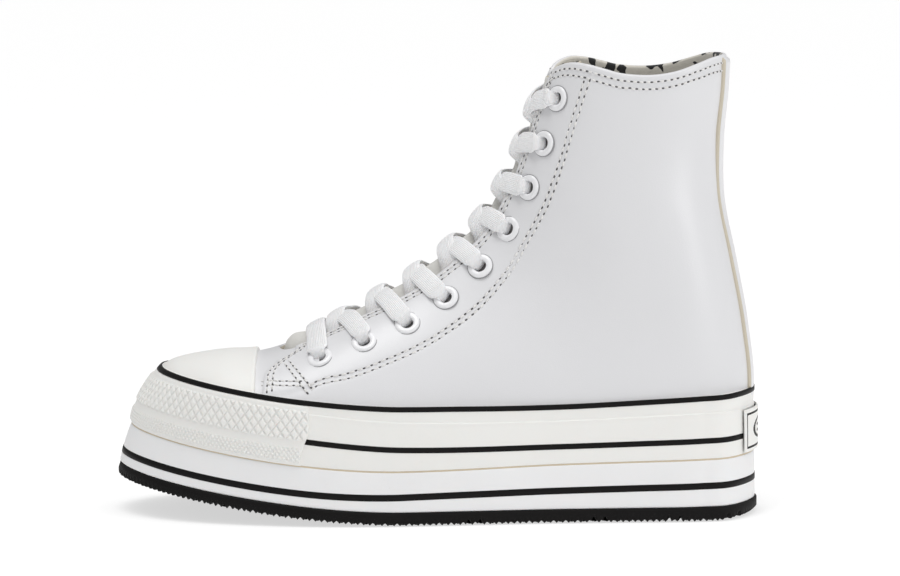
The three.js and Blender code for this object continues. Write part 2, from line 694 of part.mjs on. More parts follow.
// One arm of a crossing: out from under the facing at `low`, over the tongue, into the eyelet `high`.
function arm(low, high, side, lap) {
  return strap((t) => {
    const from = -(throatHalf(low) - 1.6);
    const to = holeAway(high) - 0.5;
    const away = mix(from, to, t);
    const section = mix(low, high, mix((to + from) / (2 * to) + 0.06, 1, t));
    const rise = clamp01((away - from) / 9);
    const out = mix(UNDER, OVER_TONGUE, rise * rise * (3 - 2 * rise));
    const onFacing = clamp01((away - 0.35 * throatHalf(section)) / 6);
    const onRing = clamp01((away - holeAway(high) + RING_RUN) / 4);
    const middle = Math.exp(-((away / 5) ** 2));
    const height = mix(mix(out, OVER_FACING, onFacing), OVER_EYELET, onRing) + lap * middle;
    return { section, away: side * away, out: height };
  }, 7);
}

// The first bar runs straight across, from eyelet to eyelet.
function bar(section) {
  const reach = holeAway(section) - 1.5;
  return geometryOf(strap((t) => {
    const away = mix(-reach, reach, t);
    const ring = clamp01((Math.abs(away) - reach + RING_RUN) / 4);
    return { section: section - 0.02, away, out: mix(2.6 - 0.03 * Math.abs(away), OVER_EYELET, ring) };
  }, 12));
}

// The space that the upper's wall takes, with a gap all round.
const wallSpace = form(GAP).subtract(form(-WALL - GAP)).subtract(throatCutter(GAP));
const tongueSpace = solid(tongue(GAP));

// Two arms joined where they cross, trimmed where they come out from under the facings.
function crossing(low, high) {
  const both = arm(low, high, 1, 0).add(arm(low, high, -1, LAP));
  return largest(both.subtract(wallSpace).subtract(tongueSpace));
}

add('outsole', outsole(), 'black');
add('platform', platform(), 'rubber');
add('platform_stripe', strip('line', LINE_HEIGHT), 'black');
add('foxing', foxing(form(GAP)), 'rubber');
const stripeSpan = [BUMPER_END + 0.03, PATCH_END - 0.02];
add('foxing_stripe_outer', strip('band', BAND_HEIGHT, stripeSpan), 'black');
add('foxing_stripe_inner', strip('band', BAND_HEIGHT, [-stripeSpan[1], -stripeSpan[0]]), 'black');
add('foxing_pinstripe', pinstripe(), 'black');
add('toe_bumper', bumper(0), 'rubber');
add('heel_patch', heelPatch(), 'rubber');
add('upper', upper(), 'leather');
const capRoom = box([CAP_EDGE, -FAR, 0], [FAR, FAR, FAR]);
const stayRoom = box([-FAR, -STAY_HALF, 0], [STAY_FRONT, STAY_HALF, STAY_TOP]);
add('toe_cap', overlay(CAP_WALL, capRoom), 'rubber');
add('heel_stay', overlay(STAY_WALL, stayRoom), 'leather');
add('tongue', largest(solid(tongue()).subtract(wallSpace)), 'leather');
add('insole', insole(), 'lining');

const eyelets = eyeletSections();
eyelets.forEach((section, i) => {
  add(`eyelet_outer_${i + 1}`, eyelet(section, 1), 'rubber');
  add(`eyelet_inner_${i + 1}`, eyelet(section, -1), 'rubber');
});
add('lace_bar', bar(eyelets[0]), 'lace');
for (let i = 1; i < EYELET_COUNT; i += 1) {
  add(`lace_cross_${i}`, crossing(eyelets[i - 1], eyelets[i]), 'lace');
}

export default shoe;
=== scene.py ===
# %% [markdown]
# A white platform high-top, modelled in layers over its CAD frame.
# The frame gives the sizes and the parts that matter for fit. This script adds what a maker
# adds last: skins with folded edges, rows of stitches, rolled eyelets, a woven lace, moulded
# rubber and the marks of light wear. Everything is in metres inside Blender; the tables below
# are in millimetres, because that is how a pattern cutter would write them.

# %% load the frame
import math

import bmesh
import bpy
import numpy as np
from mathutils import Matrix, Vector


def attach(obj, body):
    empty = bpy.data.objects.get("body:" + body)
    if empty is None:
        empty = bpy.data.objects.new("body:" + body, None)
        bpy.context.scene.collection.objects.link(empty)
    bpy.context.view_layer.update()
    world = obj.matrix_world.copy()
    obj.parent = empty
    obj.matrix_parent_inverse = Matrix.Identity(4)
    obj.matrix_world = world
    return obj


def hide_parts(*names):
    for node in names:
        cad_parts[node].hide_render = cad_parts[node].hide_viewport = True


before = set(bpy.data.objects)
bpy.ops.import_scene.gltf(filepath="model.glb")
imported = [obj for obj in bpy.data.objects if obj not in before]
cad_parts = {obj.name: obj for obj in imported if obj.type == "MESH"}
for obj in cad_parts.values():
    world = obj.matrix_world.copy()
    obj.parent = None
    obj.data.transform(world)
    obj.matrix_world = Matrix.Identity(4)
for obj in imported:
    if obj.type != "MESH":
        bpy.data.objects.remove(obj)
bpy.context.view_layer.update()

MM = 0.001
rng = np.random.default_rng(7)

# %% [markdown]
# ## The shoe's own sizes
# The sole is described by its plan (middle line and half width) and by the height of each
# layer above a ground line that rises at the toe. The upper is a row of superellipse sections
# that fan from upright at the toe to level at the collar. All later steps only ask these
# tables for points, so one change in a table moves the skin, its seams and its stitches.

# %% sole tables
SOLE_LENGTH, SOLE_CENTRE = 273.3, 0.75
HALF = SOLE_LENGTH / 2
HEEL_RADIUS, TOE_RADIUS, TOE_MIDDLE = 39, 38, -4.6
SPRING_START, SPRING_RISE, SPRING_POWER, TIP_X = 16, 15.6, 1.62, 136.9
# x, middle, half width
PLAN = np.array([
    (-125.6, -0.6, 30.2), (-112, -0.5, 35.8), (-87, 0.4, 37.2), (-52, 2.2, 37.6), (-18, 2.8, 41.6),
    (16, 2.0, 47.0), (46, 0.2, 50.0), (72, -1.5, 48.8), (94, -2.6, 44.6), (111, -3.6, 38.2),
    (124, -4.2, 28.8)])
# x, then the heights of: outsole top, lower line, glue seam, middle stripe, ledge, rim
LEVEL_NAMES = ("tread", "line", "seam", "band", "ledge", "rim")
LEVELS = np.array([
    (-137, 6.4, 14.0, 26.7, 33.6, 46.2, 54.0), (-107, 6.2, 13.5, 26.0, 32.7, 45.2, 52.6),
    (-50, 5.9, 12.3, 24.6, 31.1, 42.8, 49.9), (0, 5.8, 11.1, 23.0, 30.6, 42.8, 49.9),
    (55, 5.7, 9.8, 22.6, 32.0, 44.6, 50.4), (137, 5.6, 9.6, 22.8, 33.0, 45.0, 50.0)])
LEAN = {"foot": (0.4, 0.8, 0.9), "seam": (1.2, 1.2, 6.5), "rim": (2.6, 1.4, 19.1)}  # side, heel, toe
BUMPER_X, PATCH_X = 54, -129.6
LINE_HEIGHT, BAND_HEIGHT, PIN_HEIGHT = 3.0, 2.5, 2.1

# %% upper tables
# topX, topZ, lowX, lowZ, outer half, inner half, middle, belly, crown, keel
SECTIONS = np.array([
    (121.5, 49, 121.5, 49, 0, 0, -4.4, .5, 2.2, 2.4),
    (119, 57, 119, 37, 12.5, 12.5, -4.2, .5, 2.2, 2.4),
    (113.5, 61.9, 113.5, 30, 22, 22, -4, .52, 2.2, 2.5),
    (104.5, 64.5, 104.5, 24, 31, 31, -3.4, .54, 2.2, 2.6),
    (91, 66.4, 91, 20, 38.5, 38.5, -2.6, .56, 2.25, 2.8),
    (76, 67.4, 76, 17, 42.4, 42.4, -1.7, .56, 2.25, 3),
    (61.5, 72.2, 58, 15.5, 44, 44, -0.8, .52, 2.1, 3),
    (46, 80, 36, 15, 44.2, 43.2, 0, .46, 2.0, 3),
    (28, 90.3, 8, 15, 42.5, 40, .4, .41, 1.9, 3),
    (10, 101.4, -26, 15, 38.5, 35.5, .6, .38, 1.85, 3),
    (-6, 114, -62, 15, 35.5, 32.6, .5, .37, 1.85, 2.9),
    (-17.5, 124.6, -98, 16, 34, 32.4, .3, .38, 1.9, 2.8),
    (-24.3, 134.6, -126, 23, 33.4, 32.6, 0, .4, 2.05, 2.6),
    (-29.6, 144.4, -132.6, 51, 33, 32.6, 0, .41, 2.15, 2.3),
    (-33.8, 153.6, -130.2, 80, 32.4, 32.2, 0, .43, 2.25, 2.2),
    (-37.3, 162.6, -125.2, 107, 31.4, 31.4, 0, .45, 2.3, 2.15),
    (-40.4, 171.6, -119.8, 134, 30.6, 30.6, 0, .47, 2.3, 2.1),
    (-43.8, 182, -119.4, 159, 30.2, 30.2, 0, .48, 2.3, 2.1),
    (-47.4, 193.6, -121.4, 182, 30, 30, 0, .48, 2.3, 2.1),
    (-51.6, 207, -122.2, 207, 30, 30, 0, .48, 2.3, 2.1)], float)
COLLAR = np.array([
    (-30, 150), (-41.4, 178.5), (-44.5, 184.6), (-49, 189.0), (-55, 191.4), (-62, 190.9),
    (-69, 189.2), (-76, 187.4), (-85, 186.6), (-93, 186.9), (-101, 188.3), (-109, 190.8),
    (-117, 193.2), (-130, 194.2)])
# section, half of the throat's opening, height of the tongue's crest, distance of the eyelets
THROAT = np.array([
    (5.56, 0, -4.7, 31.8), (5.68, 8, -2, 31.8), (5.86, 12.2, 1.6, 31.8), (6.12, 14, 3.2, 31.8),
    (6.45, 14.8, 1.2, 32), (6.75, 15, -0.5, 32.3), (7.6, 15, -0.6, 32.3), (8.5, 14.8, -0.7, 31),
    (9.4, 13.8, -0.8, 27.5), (10.4, 12, -0.9, 23.8), (11.5, 10.4, -0.9, 21.3), (13, 9.8, -1, 21.4),
    (19, 8.6, -1, 21.8)])
WALL, TONGUE_DEPTH, TONGUE_WALL, TONGUE_HALF = 2.4, 4.7, 3.0, 25
EYELETS, EYELET_PITCH, FIRST_EYELET = 9, 19.75, 6.72
print("sections:", len(SECTIONS), "sole stations:", len(PLAN))

# %% [markdown]
# ## From tables to points
# A cubic Hermite curve runs through each column: its slope at a row is the chord of the two
# neighbours, so it is smooth and never wild. A spline object could do the same, but plain
# arrays let one call place a whole grid of points, and a grid is what a mesh is made from.


# %% curves through a table
def through(keys, values):
    """Cubic Hermite f(t): h = s^2(3-2s) mixes the rows, plus s(1-s)^2 m0 - s^2(1-s) m1."""
    keys, values = np.asarray(keys, float), np.asarray(values, float)
    before = np.maximum(np.arange(len(keys)) - 1, 0)
    after = np.minimum(np.arange(len(keys)) + 1, len(keys) - 1)
    slope = (values[after] - values[before]) / (keys[after] - keys[before])

    def at(t):
        t = np.asarray(t, float)
        i = np.clip(np.searchsorted(keys, t) - 1, 0, len(keys) - 2)
        step = keys[i + 1] - keys[i]
        s = np.clip((t - keys[i]) / step, 0, 1)
        h = s * s * (3 - 2 * s)
        bend = s * (1 - s) ** 2 * step * slope[i] - s * s * (1 - s) * step * slope[i + 1]
        return values[i] * (1 - h) + values[i + 1] * h + bend
    return at


def mix(a, b, t):
    """a + (b - a) t"""
    return a + (b - a) * t


def ease(t):
    """Smooth step of t held to 0..1."""
    t = np.clip(t, 0, 1)
    return t * t * (3 - 2 * t)


def unit(v):
    """v / |v| along the last axis."""
    return v / np.maximum(np.linalg.norm(v, axis=-1, keepdims=True), 1e-9)


# %% points of the sole
_oval = np.sqrt(1 - (PLAN[:, 0] / HALF) ** 2)
_plan_x = np.concatenate([[-HALF], PLAN[:, 0], [HALF]])
plan_middle = through(_plan_x, np.concatenate([[0], PLAN[:, 1], [TOE_MIDDLE]]))
plan_ratio = through(_plan_x, np.concatenate(
    [[math.sqrt(HEEL_RADIUS * HALF)], PLAN[:, 2] / _oval, [math.sqrt(TOE_RADIUS * HALF)]]))
level = {name: through(LEVELS[:, 0], LEVELS[:, i + 1]) for i, name in enumerate(LEVEL_NAMES)}


def spring(x):
    """Rise of the ground line: SPRING_RISE ((x - start) / (tip - start))^power."""
    return SPRING_RISE * np.clip((x - SPRING_START) / (TIP_X - SPRING_START), 0, 1) ** SPRING_POWER


def heel_bevel(x):
    """The outsole lifts 1.2 mm towards its back edge."""
    return 1.2 * np.clip((-112 - x) / 24, 0, 1) ** 2


def toe_share(x):
    """0 along the side, 1 at the toe tip."""
    return np.clip((x - 62) / 75, 0, 1) ** 1.6


def lean(name, x):
    """Inset of one level's side wall: mixed from side, heel and toe."""
    side, heel, toe = LEAN[name]
    back = np.clip((-100 - x) / 36, 0, 1) ** 1.5
    return mix(mix(side, heel, back), toe, toe_share(x))


def wall_inset(x, z):
    """Inset of the wall at height z over the sprung ground."""
    seam, rim = level["seam"](x), level["rim"](x)
    low = mix(lean("foot", x), lean("seam", x), np.clip(z / seam, 0, 1) ** 1.5)
    high = mix(lean("seam", x), lean("rim", x), np.clip((z - seam) / (rim - seam), 0, 2) ** 1.6)
    return np.where(z < seam, low, high)


def sole_edge(angle):
    """Outline: x = centre + h cos a, y = middle(x) + ratio(x) sin a. Angle 0 is the toe tip."""
    x = HALF * np.cos(angle)
    return np.stack([SOLE_CENTRE + x, plan_middle(x) + plan_ratio(x) * np.sin(angle)], -1)


def sole_inside(angle):
    """Unit vector in plan that points inwards from the outline."""
    along = unit(sole_edge(angle + 1e-3) - sole_edge(angle - 1e-3))
    return np.stack([-along[..., 1], along[..., 0]], -1)


def wall_point(angle, z, out=0.0):
    """Point of the side wall at height z over the ground line, `out` mm proud of it."""
    edge = sole_edge(angle)
    inset = wall_inset(edge[..., 0], z) - out
    plan = edge + sole_inside(angle) * inset[..., None]
    return np.concatenate([plan, (z + spring(plan[..., 0]))[..., None]], -1)


# An even walk round the outline: angle as a function of the distance from the toe tip.
_a = np.linspace(0, 2 * math.pi, 4001)
_walk = np.concatenate([[0], np.cumsum(np.linalg.norm(np.diff(sole_edge(_a), axis=0), axis=1))])
ROUND = _walk[-1]


def angle_at(distance):
    """Angle of the point `distance` mm round the outline (wraps)."""
    turns = np.floor(distance / ROUND)
    return np.interp(distance - turns * ROUND, _walk, _a) + turns * 2 * math.pi


def distance_of(x):
    """Distance round the outline from the toe tip to the outer-side place at this x."""
    return np.interp(math.acos((x - SOLE_CENTRE) / HALF), _a, _walk)


print("round the sole: %.1f mm" % ROUND)

# %% points of the upper
_ghost = SECTIONS[1, [0, 3, 2, 1, 4, 5, 6, 7, 8, 9]] * np.array([1, 1, 1, 1, -1, -1, 1, 1, 1, 1])
_rows = np.vstack([_ghost, SECTIONS])
column = [through(np.arange(-1, len(SECTIONS)), _rows[:, i]) for i in range(10)]
LAST = len(SECTIONS) - 1.0


def face(section, angle):
    """Superellipse section: share up = |cos|^(2/n), half width = |sin|^(2/n)."""
    top_x, top_z, low_x, low_z, outer, inner, middle, belly, crown, keel = (c(section) for c in column)
    cos, sin = np.cos(angle), np.sin(angle)
    power = 2 / np.where(cos >= 0, crown, keel)
    reach = np.abs(cos) ** power
    share = np.where(cos >= 0, belly + (1 - belly) * reach, belly * (1 - reach))
    width = np.abs(sin) ** power * np.where(sin >= 0, outer, -inner)
    return np.stack([mix(low_x, top_x, share), middle + width, mix(low_z, top_z, share)], -1)


def face_normal(section, angle):
    """Around x along, by differences; points outwards."""
    d = 0.02
    around = face(section, angle + d) - face(section, angle - d)
    along = face(section + d, angle) - face(section - d, angle)
    return unit(np.cross(around, along))


def face_plus(section, angle, out):
    """The face moved `out` mm along its normal."""
    out = np.broadcast_to(np.asarray(out, float), np.broadcast(section, angle).shape)
    return face(section, angle) + face_normal(section, angle) * out[..., None]


# Distance from the ridge round each section, on a fine table, to turn distances into angles.
_S, _A = np.linspace(0.05, LAST, 760), np.linspace(0, math.pi, 721)
_arc = {}
for _side in (1, -1):
    _p = face(_S[:, None], _side * _A[None, :])
    _run = np.linalg.norm(np.diff(_p, axis=1), axis=-1)
    _arc[_side] = np.concatenate([np.zeros((len(_S), 1)), np.cumsum(_run, 1)], 1)


def angle_away(section, away):
    """Angle at a distance `away` from the ridge, found by interpolation in the distance table."""
    section, away = np.broadcast_arrays(np.asarray(section, float), np.asarray(away, float))
    flat_s, flat_a = section.ravel(), away.ravel()
    row = np.clip((flat_s - _S[0]) / (_S[1] - _S[0]), 0, len(_S) - 1.001)
    i, t = row.astype(int), (row % 1)[:, None]
    side = flat_a >= 0
    table = np.where(side[:, None], mix(_arc[1][i], _arc[1][i + 1], t), mix(_arc[-1][i], _arc[-1][i + 1], t))
    want = np.abs(flat_a)[:, None]
    j = np.clip((table < want).sum(1) - 1, 0, len(_A) - 2)
    k = np.arange(len(j))
    part = (want[:, 0] - table[k, j]) / np.maximum(table[k, j + 1] - table[k, j], 1e-9)
    angle = (j + np.clip(part, 0, 1)) * (_A[1] - _A[0])
    return (np.where(side, angle, -angle)).reshape(section.shape)


throat_half = through(THROAT[:, 0], THROAT[:, 1])
throat_crest = through(THROAT[:, 0], THROAT[:, 2])
hole_away = through(THROAT[:, 0], THROAT[:, 3])


def away_plus(section, away, out):
    """Point at a distance from the ridge, `out` mm over the face."""
    return face_plus(section, angle_away(section, away), out)


def away_normal(section, away):
    """Outward normal at a distance from the ridge."""
    return face_normal(section, angle_away(section, away))


# Sections of the eyelets: an even pitch along their line on the facing.
_s = np.linspace(FIRST_EYELET, 18, 3000)
_line = away_plus(_s, hole_away(_s), 0)
_len = np.concatenate([[0], np.cumsum(np.linalg.norm(np.diff(_line, axis=0), axis=1))])
EYELET_AT = np.interp(np.arange(EYELETS) * EYELET_PITCH, _len, _s)
print("eyelet sections:", np.round(EYELET_AT, 2))

# %% [markdown]
# ## Meshes from grids
# Every piece below is one or more grids of points with quads between them. Rows can close on
# themselves (a tube) and both ends can be capped. Whole arrays go to Blender in one call, and
# the distance along rows and columns is kept as a UV map in metres, so woven and knurled
# finishes run along the piece whatever way it turns.

# %% mesh helpers
parts = []


def quads(rows, columns, loop_rows=False, loop_columns=False):
    """Vertex numbers of the quads of a grid, optionally closed in either direction."""
    i = np.arange(rows if loop_rows else rows - 1)
    j = np.arange(columns if loop_columns else columns - 1)
    i, j = np.meshgrid(i, j, indexing="ij")
    i1, j1 = (i + 1) % rows, (j + 1) % columns
    return np.stack([i * columns + j, i * columns + j1, i1 * columns + j1, i1 * columns + j],
                    -1).reshape(-1, 4)


class Shell:
    """Collects grids into one mesh: points in mm, quads, and a UV in mm for each point."""

    def __init__(self):
        self.points, self.faces, self.uvs, self.marks, self.count = [], [], [], [], 0

    def grid(self, points, loop_rows=False, loop_columns=False, flip=False, uv=None, mark=0):
        """Adds a rows x columns grid. The UV is the mean distance along rows and columns."""
        rows, columns = points.shape[:2]
        if uv is None:
            down = np.concatenate([[0], np.cumsum(np.linalg.norm(np.diff(points, axis=0), axis=-1).mean(1))])
            over = np.concatenate([[0], np.cumsum(np.linalg.norm(np.diff(points, axis=1), axis=-1).mean(0))])
            uv = np.stack(np.meshgrid(over, down), -1)
        q = quads(rows, columns, loop_rows, loop_columns) + self.count
        self.points.append(points.reshape(-1, 3))
        self.uvs.append(np.asarray(uv, float).reshape(-1, 2))
        self.faces.append(q[:, ::-1] if flip else q)
        self.marks.append(np.broadcast_to(np.asarray(mark).ravel(), len(q)))
        self.count += rows * columns
        return self

    def solid_rows(self, rings, uv=None):
        """A tube of closed rings (rows) with both ends drawn together to their middles."""
        start, end = rings[:1].mean(1, keepdims=True), rings[-1:].mean(1, keepdims=True)
        count = rings.shape[1]
        closed = np.concatenate([np.repeat(start, count, 1), rings, np.repeat(end, count, 1)])
        return self.grid(closed, loop_columns=True, uv=uv)

    def copies(self, blocks):
        """Adds n tubes of the same layout at once: blocks is n x rows x columns x 3."""
        n, rows, columns = blocks.shape[:3]
        q = quads(rows, columns, False, True)[None] + (np.arange(n) * rows * columns)[:, None, None]
        walk = np.stack(np.meshgrid(np.arange(columns) * 0.4, np.arange(rows) * 0.4), -1)
        self.points.append(blocks.reshape(-1, 3))
        self.uvs.append(np.tile(walk.reshape(-1, 2), (n, 1)))
        self.faces.append(q.reshape(-1, 4) + self.count)
        self.marks.append(np.zeros(q.shape[0] * q.shape[1], int))
        self.count += n * rows * columns

    def build(self, name, slot, replaces=(), materials=(), smooth=True, weld=2e-5, sharp=None):
        """Makes the object: welds doubled points and rides on the root."""
        points = np.concatenate(self.points) * MM
        faces = np.concatenate(self.faces)
        mesh = bpy.data.meshes.new(name)
        mesh.vertices.add(len(points))
        mesh.vertices.foreach_set("co", points.astype(np.float32).ravel())
        mesh.loops.add(faces.size)
        mesh.loops.foreach_set("vertex_index", faces.astype(np.int32).ravel())
        mesh.polygons.add(len(faces))
        mesh.polygons.foreach_set("loop_start", np.arange(len(faces), dtype=np.int32) * 4)
        layer = mesh.uv_layers.new(name="lay")
        uv = (np.concatenate(self.uvs) * MM)[faces.ravel()]
        layer.data.foreach_set("uv", uv.astype(np.float32).ravel())
        mesh.update(calc_edges=True)
        mesh.polygons.foreach_set("material_index", np.concatenate(self.marks).astype(np.int32))
        if smooth:
            mesh.polygons.foreach_set("use_smooth", np.ones(len(faces), bool))
        tidy(mesh, weld, sharp)
        obj = bpy.data.objects.new(name, mesh)
        bpy.context.scene.collection.objects.link(obj)
        for material in materials:
            mesh.materials.append(material)
        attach(obj, "root")
        if replaces:
            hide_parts(*replaces)
        parts.append(obj)
        print("%-18s %7d faces" % (name, len(mesh.polygons)))
        return obj


def tidy(mesh, weld, sharp):
    """Welds points closer than `weld`, drops empty faces, marks edges sharper than `sharp`."""
    bm = bmesh.new()
    bm.from_mesh(mesh)
    if weld:
        bmesh.ops.remove_doubles(bm, verts=bm.verts, dist=weld)
        bmesh.ops.dissolve_degenerate(bm, edges=bm.edges, dist=weld / 4)
    if sharp is not None:
        for edge in bm.edges:
            edge.smooth = edge.calc_face_angle(0) < sharp
    bm.to_mesh(mesh)
    bm.free()

# %% [markdown]
# ## Finishes
# Each effect that several materials share is a small node group that gives out a mask or a
# normal. The grain group makes the pebbled skin of coated leather from a Voronoi pattern; the
# weave group makes ribs from the UV of a strap, so they follow it round every bend; the wear
# group gives the faint grey smudges that white shoes collect low down.

# %% node helpers
class Tree:
    """Short words for building a node tree."""

    def __init__(self, tree):
        self.tree = tree

    def add(self, kind, settings=None, **inputs):
        """One node; keyword inputs are constants or sockets, by socket name."""
        node = self.tree.nodes.new(kind)
        for key, value in (settings or {}).items():
            setattr(node, key, value)
        for key, value in inputs.items():
            socket = node.inputs[int(key[1:])] if key[0] == "_" else node.inputs[key.replace("__", " ")]
            if isinstance(value, bpy.types.NodeSocket):
                self.tree.links.new(value, socket)
            else:
                socket.default_value = value
        return node

    def math(self, operation, a, b=0.0, clamp=False):
        """a (operation) b"""
        node = self.add("ShaderNodeMath", {"operation": operation, "use_clamp": clamp}, _0=a, _1=b)
        return node.outputs[0]

    def ramp(self, value, low, high):
        """Smooth step of value from low to high."""
        node = self.add("ShaderNodeMapRange", {"interpolation_type": "SMOOTHSTEP"},
                        Value=value, From__Min=low, From__Max=high)
        return node.outputs[0]

    def noise(self, vector, scale, detail=4.0, rough=0.5):
        """Noise value 0..1."""
        return self.add("ShaderNodeTexNoise", None, Vector=vector, Scale=scale, Detail=detail,
                        Roughness=rough).outputs[0]

    def blend(self, factor, a, b):
        """Colour a to colour b."""
        node = self.add("ShaderNodeMix", {"data_type": "RGBA"}, _0=factor, _6=a, _7=b)
        return node.outputs[2]


def group(name, inputs, outputs, make):
    """A node group with named sockets: inputs and outputs are (name, type, default)."""
    tree = bpy.data.node_groups.new(name, "ShaderNodeTree")
    for title, kind, default in inputs:
        socket = tree.interface.new_socket(name=title, in_out="INPUT", socket_type="NodeSocket" + kind)
        if default is not None:
            socket.default_value = default
    for title, kind, _ in outputs:
        tree.interface.new_socket(name=title, in_out="OUTPUT", socket_type="NodeSocket" + kind)
    start, end = tree.nodes.new("NodeGroupInput"), tree.nodes.new("NodeGroupOutput")
    for title, value in make(Tree(tree), start.outputs).items():
        tree.links.new(value, end.inputs[title])
    return tree


def grain_nodes(t, given):
    """Pebbles: distance to the edge of Voronoi cells, broken up by noise."""
    scaled = t.add("ShaderNodeMapping", {"vector_type": "POINT"}, Vector=given["Vector"]).outputs[0]
    cells = t.add("ShaderNodeTexVoronoi", {"feature": "DISTANCE_TO_EDGE"}, Vector=scaled,
                  Scale=given["Scale"]).outputs["Distance"]
    fine = t.noise(scaled, 2600.0, 3.0)
    height = t.math("ADD", t.ramp(cells, 0.0, 0.22), t.math("MULTIPLY", fine, 0.6))
    broad = t.noise(scaled, 45.0, 2.0)
    height = t.math("ADD", height, t.math("MULTIPLY", broad, 2.0))
    bump = t.add("ShaderNodeBump", None, Strength=given["Strength"], Distance=0.00012, Height=height)
    return {"Normal": bump.outputs[0], "Mask": t.ramp(cells, 0.0, 0.2)}


def weave_nodes(t, given):
    """Ribs along a strap: |sin| across it, cut into stitches along it."""
    split = t.add("ShaderNodeSeparateXYZ", None, Vector=given["UV"]).outputs
    across = t.math("MULTIPLY", split[0], given["Across"])
    along = t.math("MULTIPLY", split[1], given["Along"])
    wave = t.math("ABSOLUTE", t.math("SINE", across))
    shift = t.math("MULTIPLY", t.math("FLOOR", t.math("DIVIDE", across, math.pi)), 1.9)
    knots = t.math("ABSOLUTE", t.math("SINE", t.math("ADD", along, shift)))
    height = t.math("MULTIPLY", wave, t.math("ADD", t.math("MULTIPLY", knots, 0.5), 0.5))
    bump = t.add("ShaderNodeBump", None, Strength=given["Strength"], Distance=0.00025, Height=height)
    return {"Normal": bump.outputs[0], "Mask": height}


def wear_nodes(t, given):
    """Smudges: two noises multiplied, stronger near the ground."""
    high = t.add("ShaderNodeSeparateXYZ", None, Vector=given["Vector"]).outputs[2]
    low = t.math("SUBTRACT", 1.0, t.ramp(high, 0.0, 0.08))
    cloud = t.ramp(t.noise(given["Vector"], 24.0, 6.0, 0.6), 0.42, 0.75)
    specks = t.ramp(t.noise(given["Vector"], 420.0, 3.0, 0.7), 0.55, 0.8)
    mask = t.math("MULTIPLY", cloud, t.math("ADD", t.math("MULTIPLY", specks, 0.6), 0.4))
    mask = t.math("MULTIPLY", mask, t.math("ADD", t.math("MULTIPLY", low, 0.7), 0.3))
    return {"Mask": t.math("MULTIPLY", mask, given["Amount"], True)}


GRAIN = group("leather_grain", [("Vector", "Vector", None), ("Scale", "Float", 900.0),
                                ("Strength", "Float", 0.3)],
              [("Normal", "Vector", None), ("Mask", "Float", None)], grain_nodes)
WEAVE = group("woven_ribs", [("UV", "Vector", None), ("Across", "Float", 4000.0), ("Along", "Float", 2500.0),
                             ("Strength", "Float", 0.5)],
              [("Normal", "Vector", None), ("Mask", "Float", None)], weave_nodes)
WEAR = group("light_wear", [("Vector", "Vector", None), ("Amount", "Float", 0.3)],
             [("Mask", "Float", None)], wear_nodes)


def material(name, colour, dirt, rough, normal=None, amount=0.25, coat=0.0, sheen=0.0, extra=None,
             glow=0.0, shine=0.5):
    """Principled material: base colour with wear mixed in, and a normal from one of the groups."""
    made = bpy.data.materials.new(name)
    made.use_nodes = True
    made.diffuse_color = (*colour, 1)
    t = Tree(made.node_tree)
    shader = made.node_tree.nodes["Principled BSDF"]
    place = t.add("ShaderNodeTexCoord").outputs
    worn = t.add("ShaderNodeGroup", {"node_tree": WEAR}, Vector=place["Object"],
                 Amount=amount).outputs["Mask"]
    tone = t.blend(worn, (*colour, 1), (*dirt, 1))
    if extra:
        tone = extra(t, place, tone)
    made.node_tree.links.new(tone, shader.inputs["Base Color"])
    shader.inputs["Roughness"].default_value = rough
    shader.inputs["Specular IOR Level"].default_value = shine
    shader.inputs["Coat Weight"].default_value = coat
    shader.inputs["Coat Roughness"].default_value = 0.35
    shader.inputs["Sheen Weight"].default_value = sheen
    shader.inputs["Subsurface Weight"].default_value = glow
    shader.inputs["Subsurface Radius"].default_value = (0.002, 0.0016, 0.0014)
    if normal:
        made.node_tree.links.new(normal(t, place), shader.inputs["Normal"])
    return made


def grain(scale, strength):
    """Normal of the grain group at this scale."""
    return lambda t, place: t.add("ShaderNodeGroup", {"node_tree": GRAIN}, Vector=place["Object"],
                                  Scale=scale,
                                  Strength=strength).outputs["Normal"]


def weave(across, along, strength):
    """Normal of the weave group, read along the piece's own UV."""
    return lambda t, place: t.add("ShaderNodeGroup", {"node_tree": WEAVE}, UV=place["UV"], Across=across,
                                  Along=along, Strength=strength).outputs["Normal"]


def print_blots(t, place, tone):
    """Loose black shapes printed on the lining: noise thresholds, warped by a second noise."""
    warp = t.add("ShaderNodeTexNoise", None, Vector=place["Object"], Scale=60.0, Detail=2.0).outputs["Color"]
    moved = t.add("ShaderNodeMix", {"data_type": "VECTOR"}, _0=0.018, _4=place["Object"], _5=warp).outputs[1]
    shapes = t.ramp(t.noise(moved, 150.0, 1.5), 0.515, 0.53)
    return t.blend(shapes, tone, (0.015, 0.015, 0.016, 1))


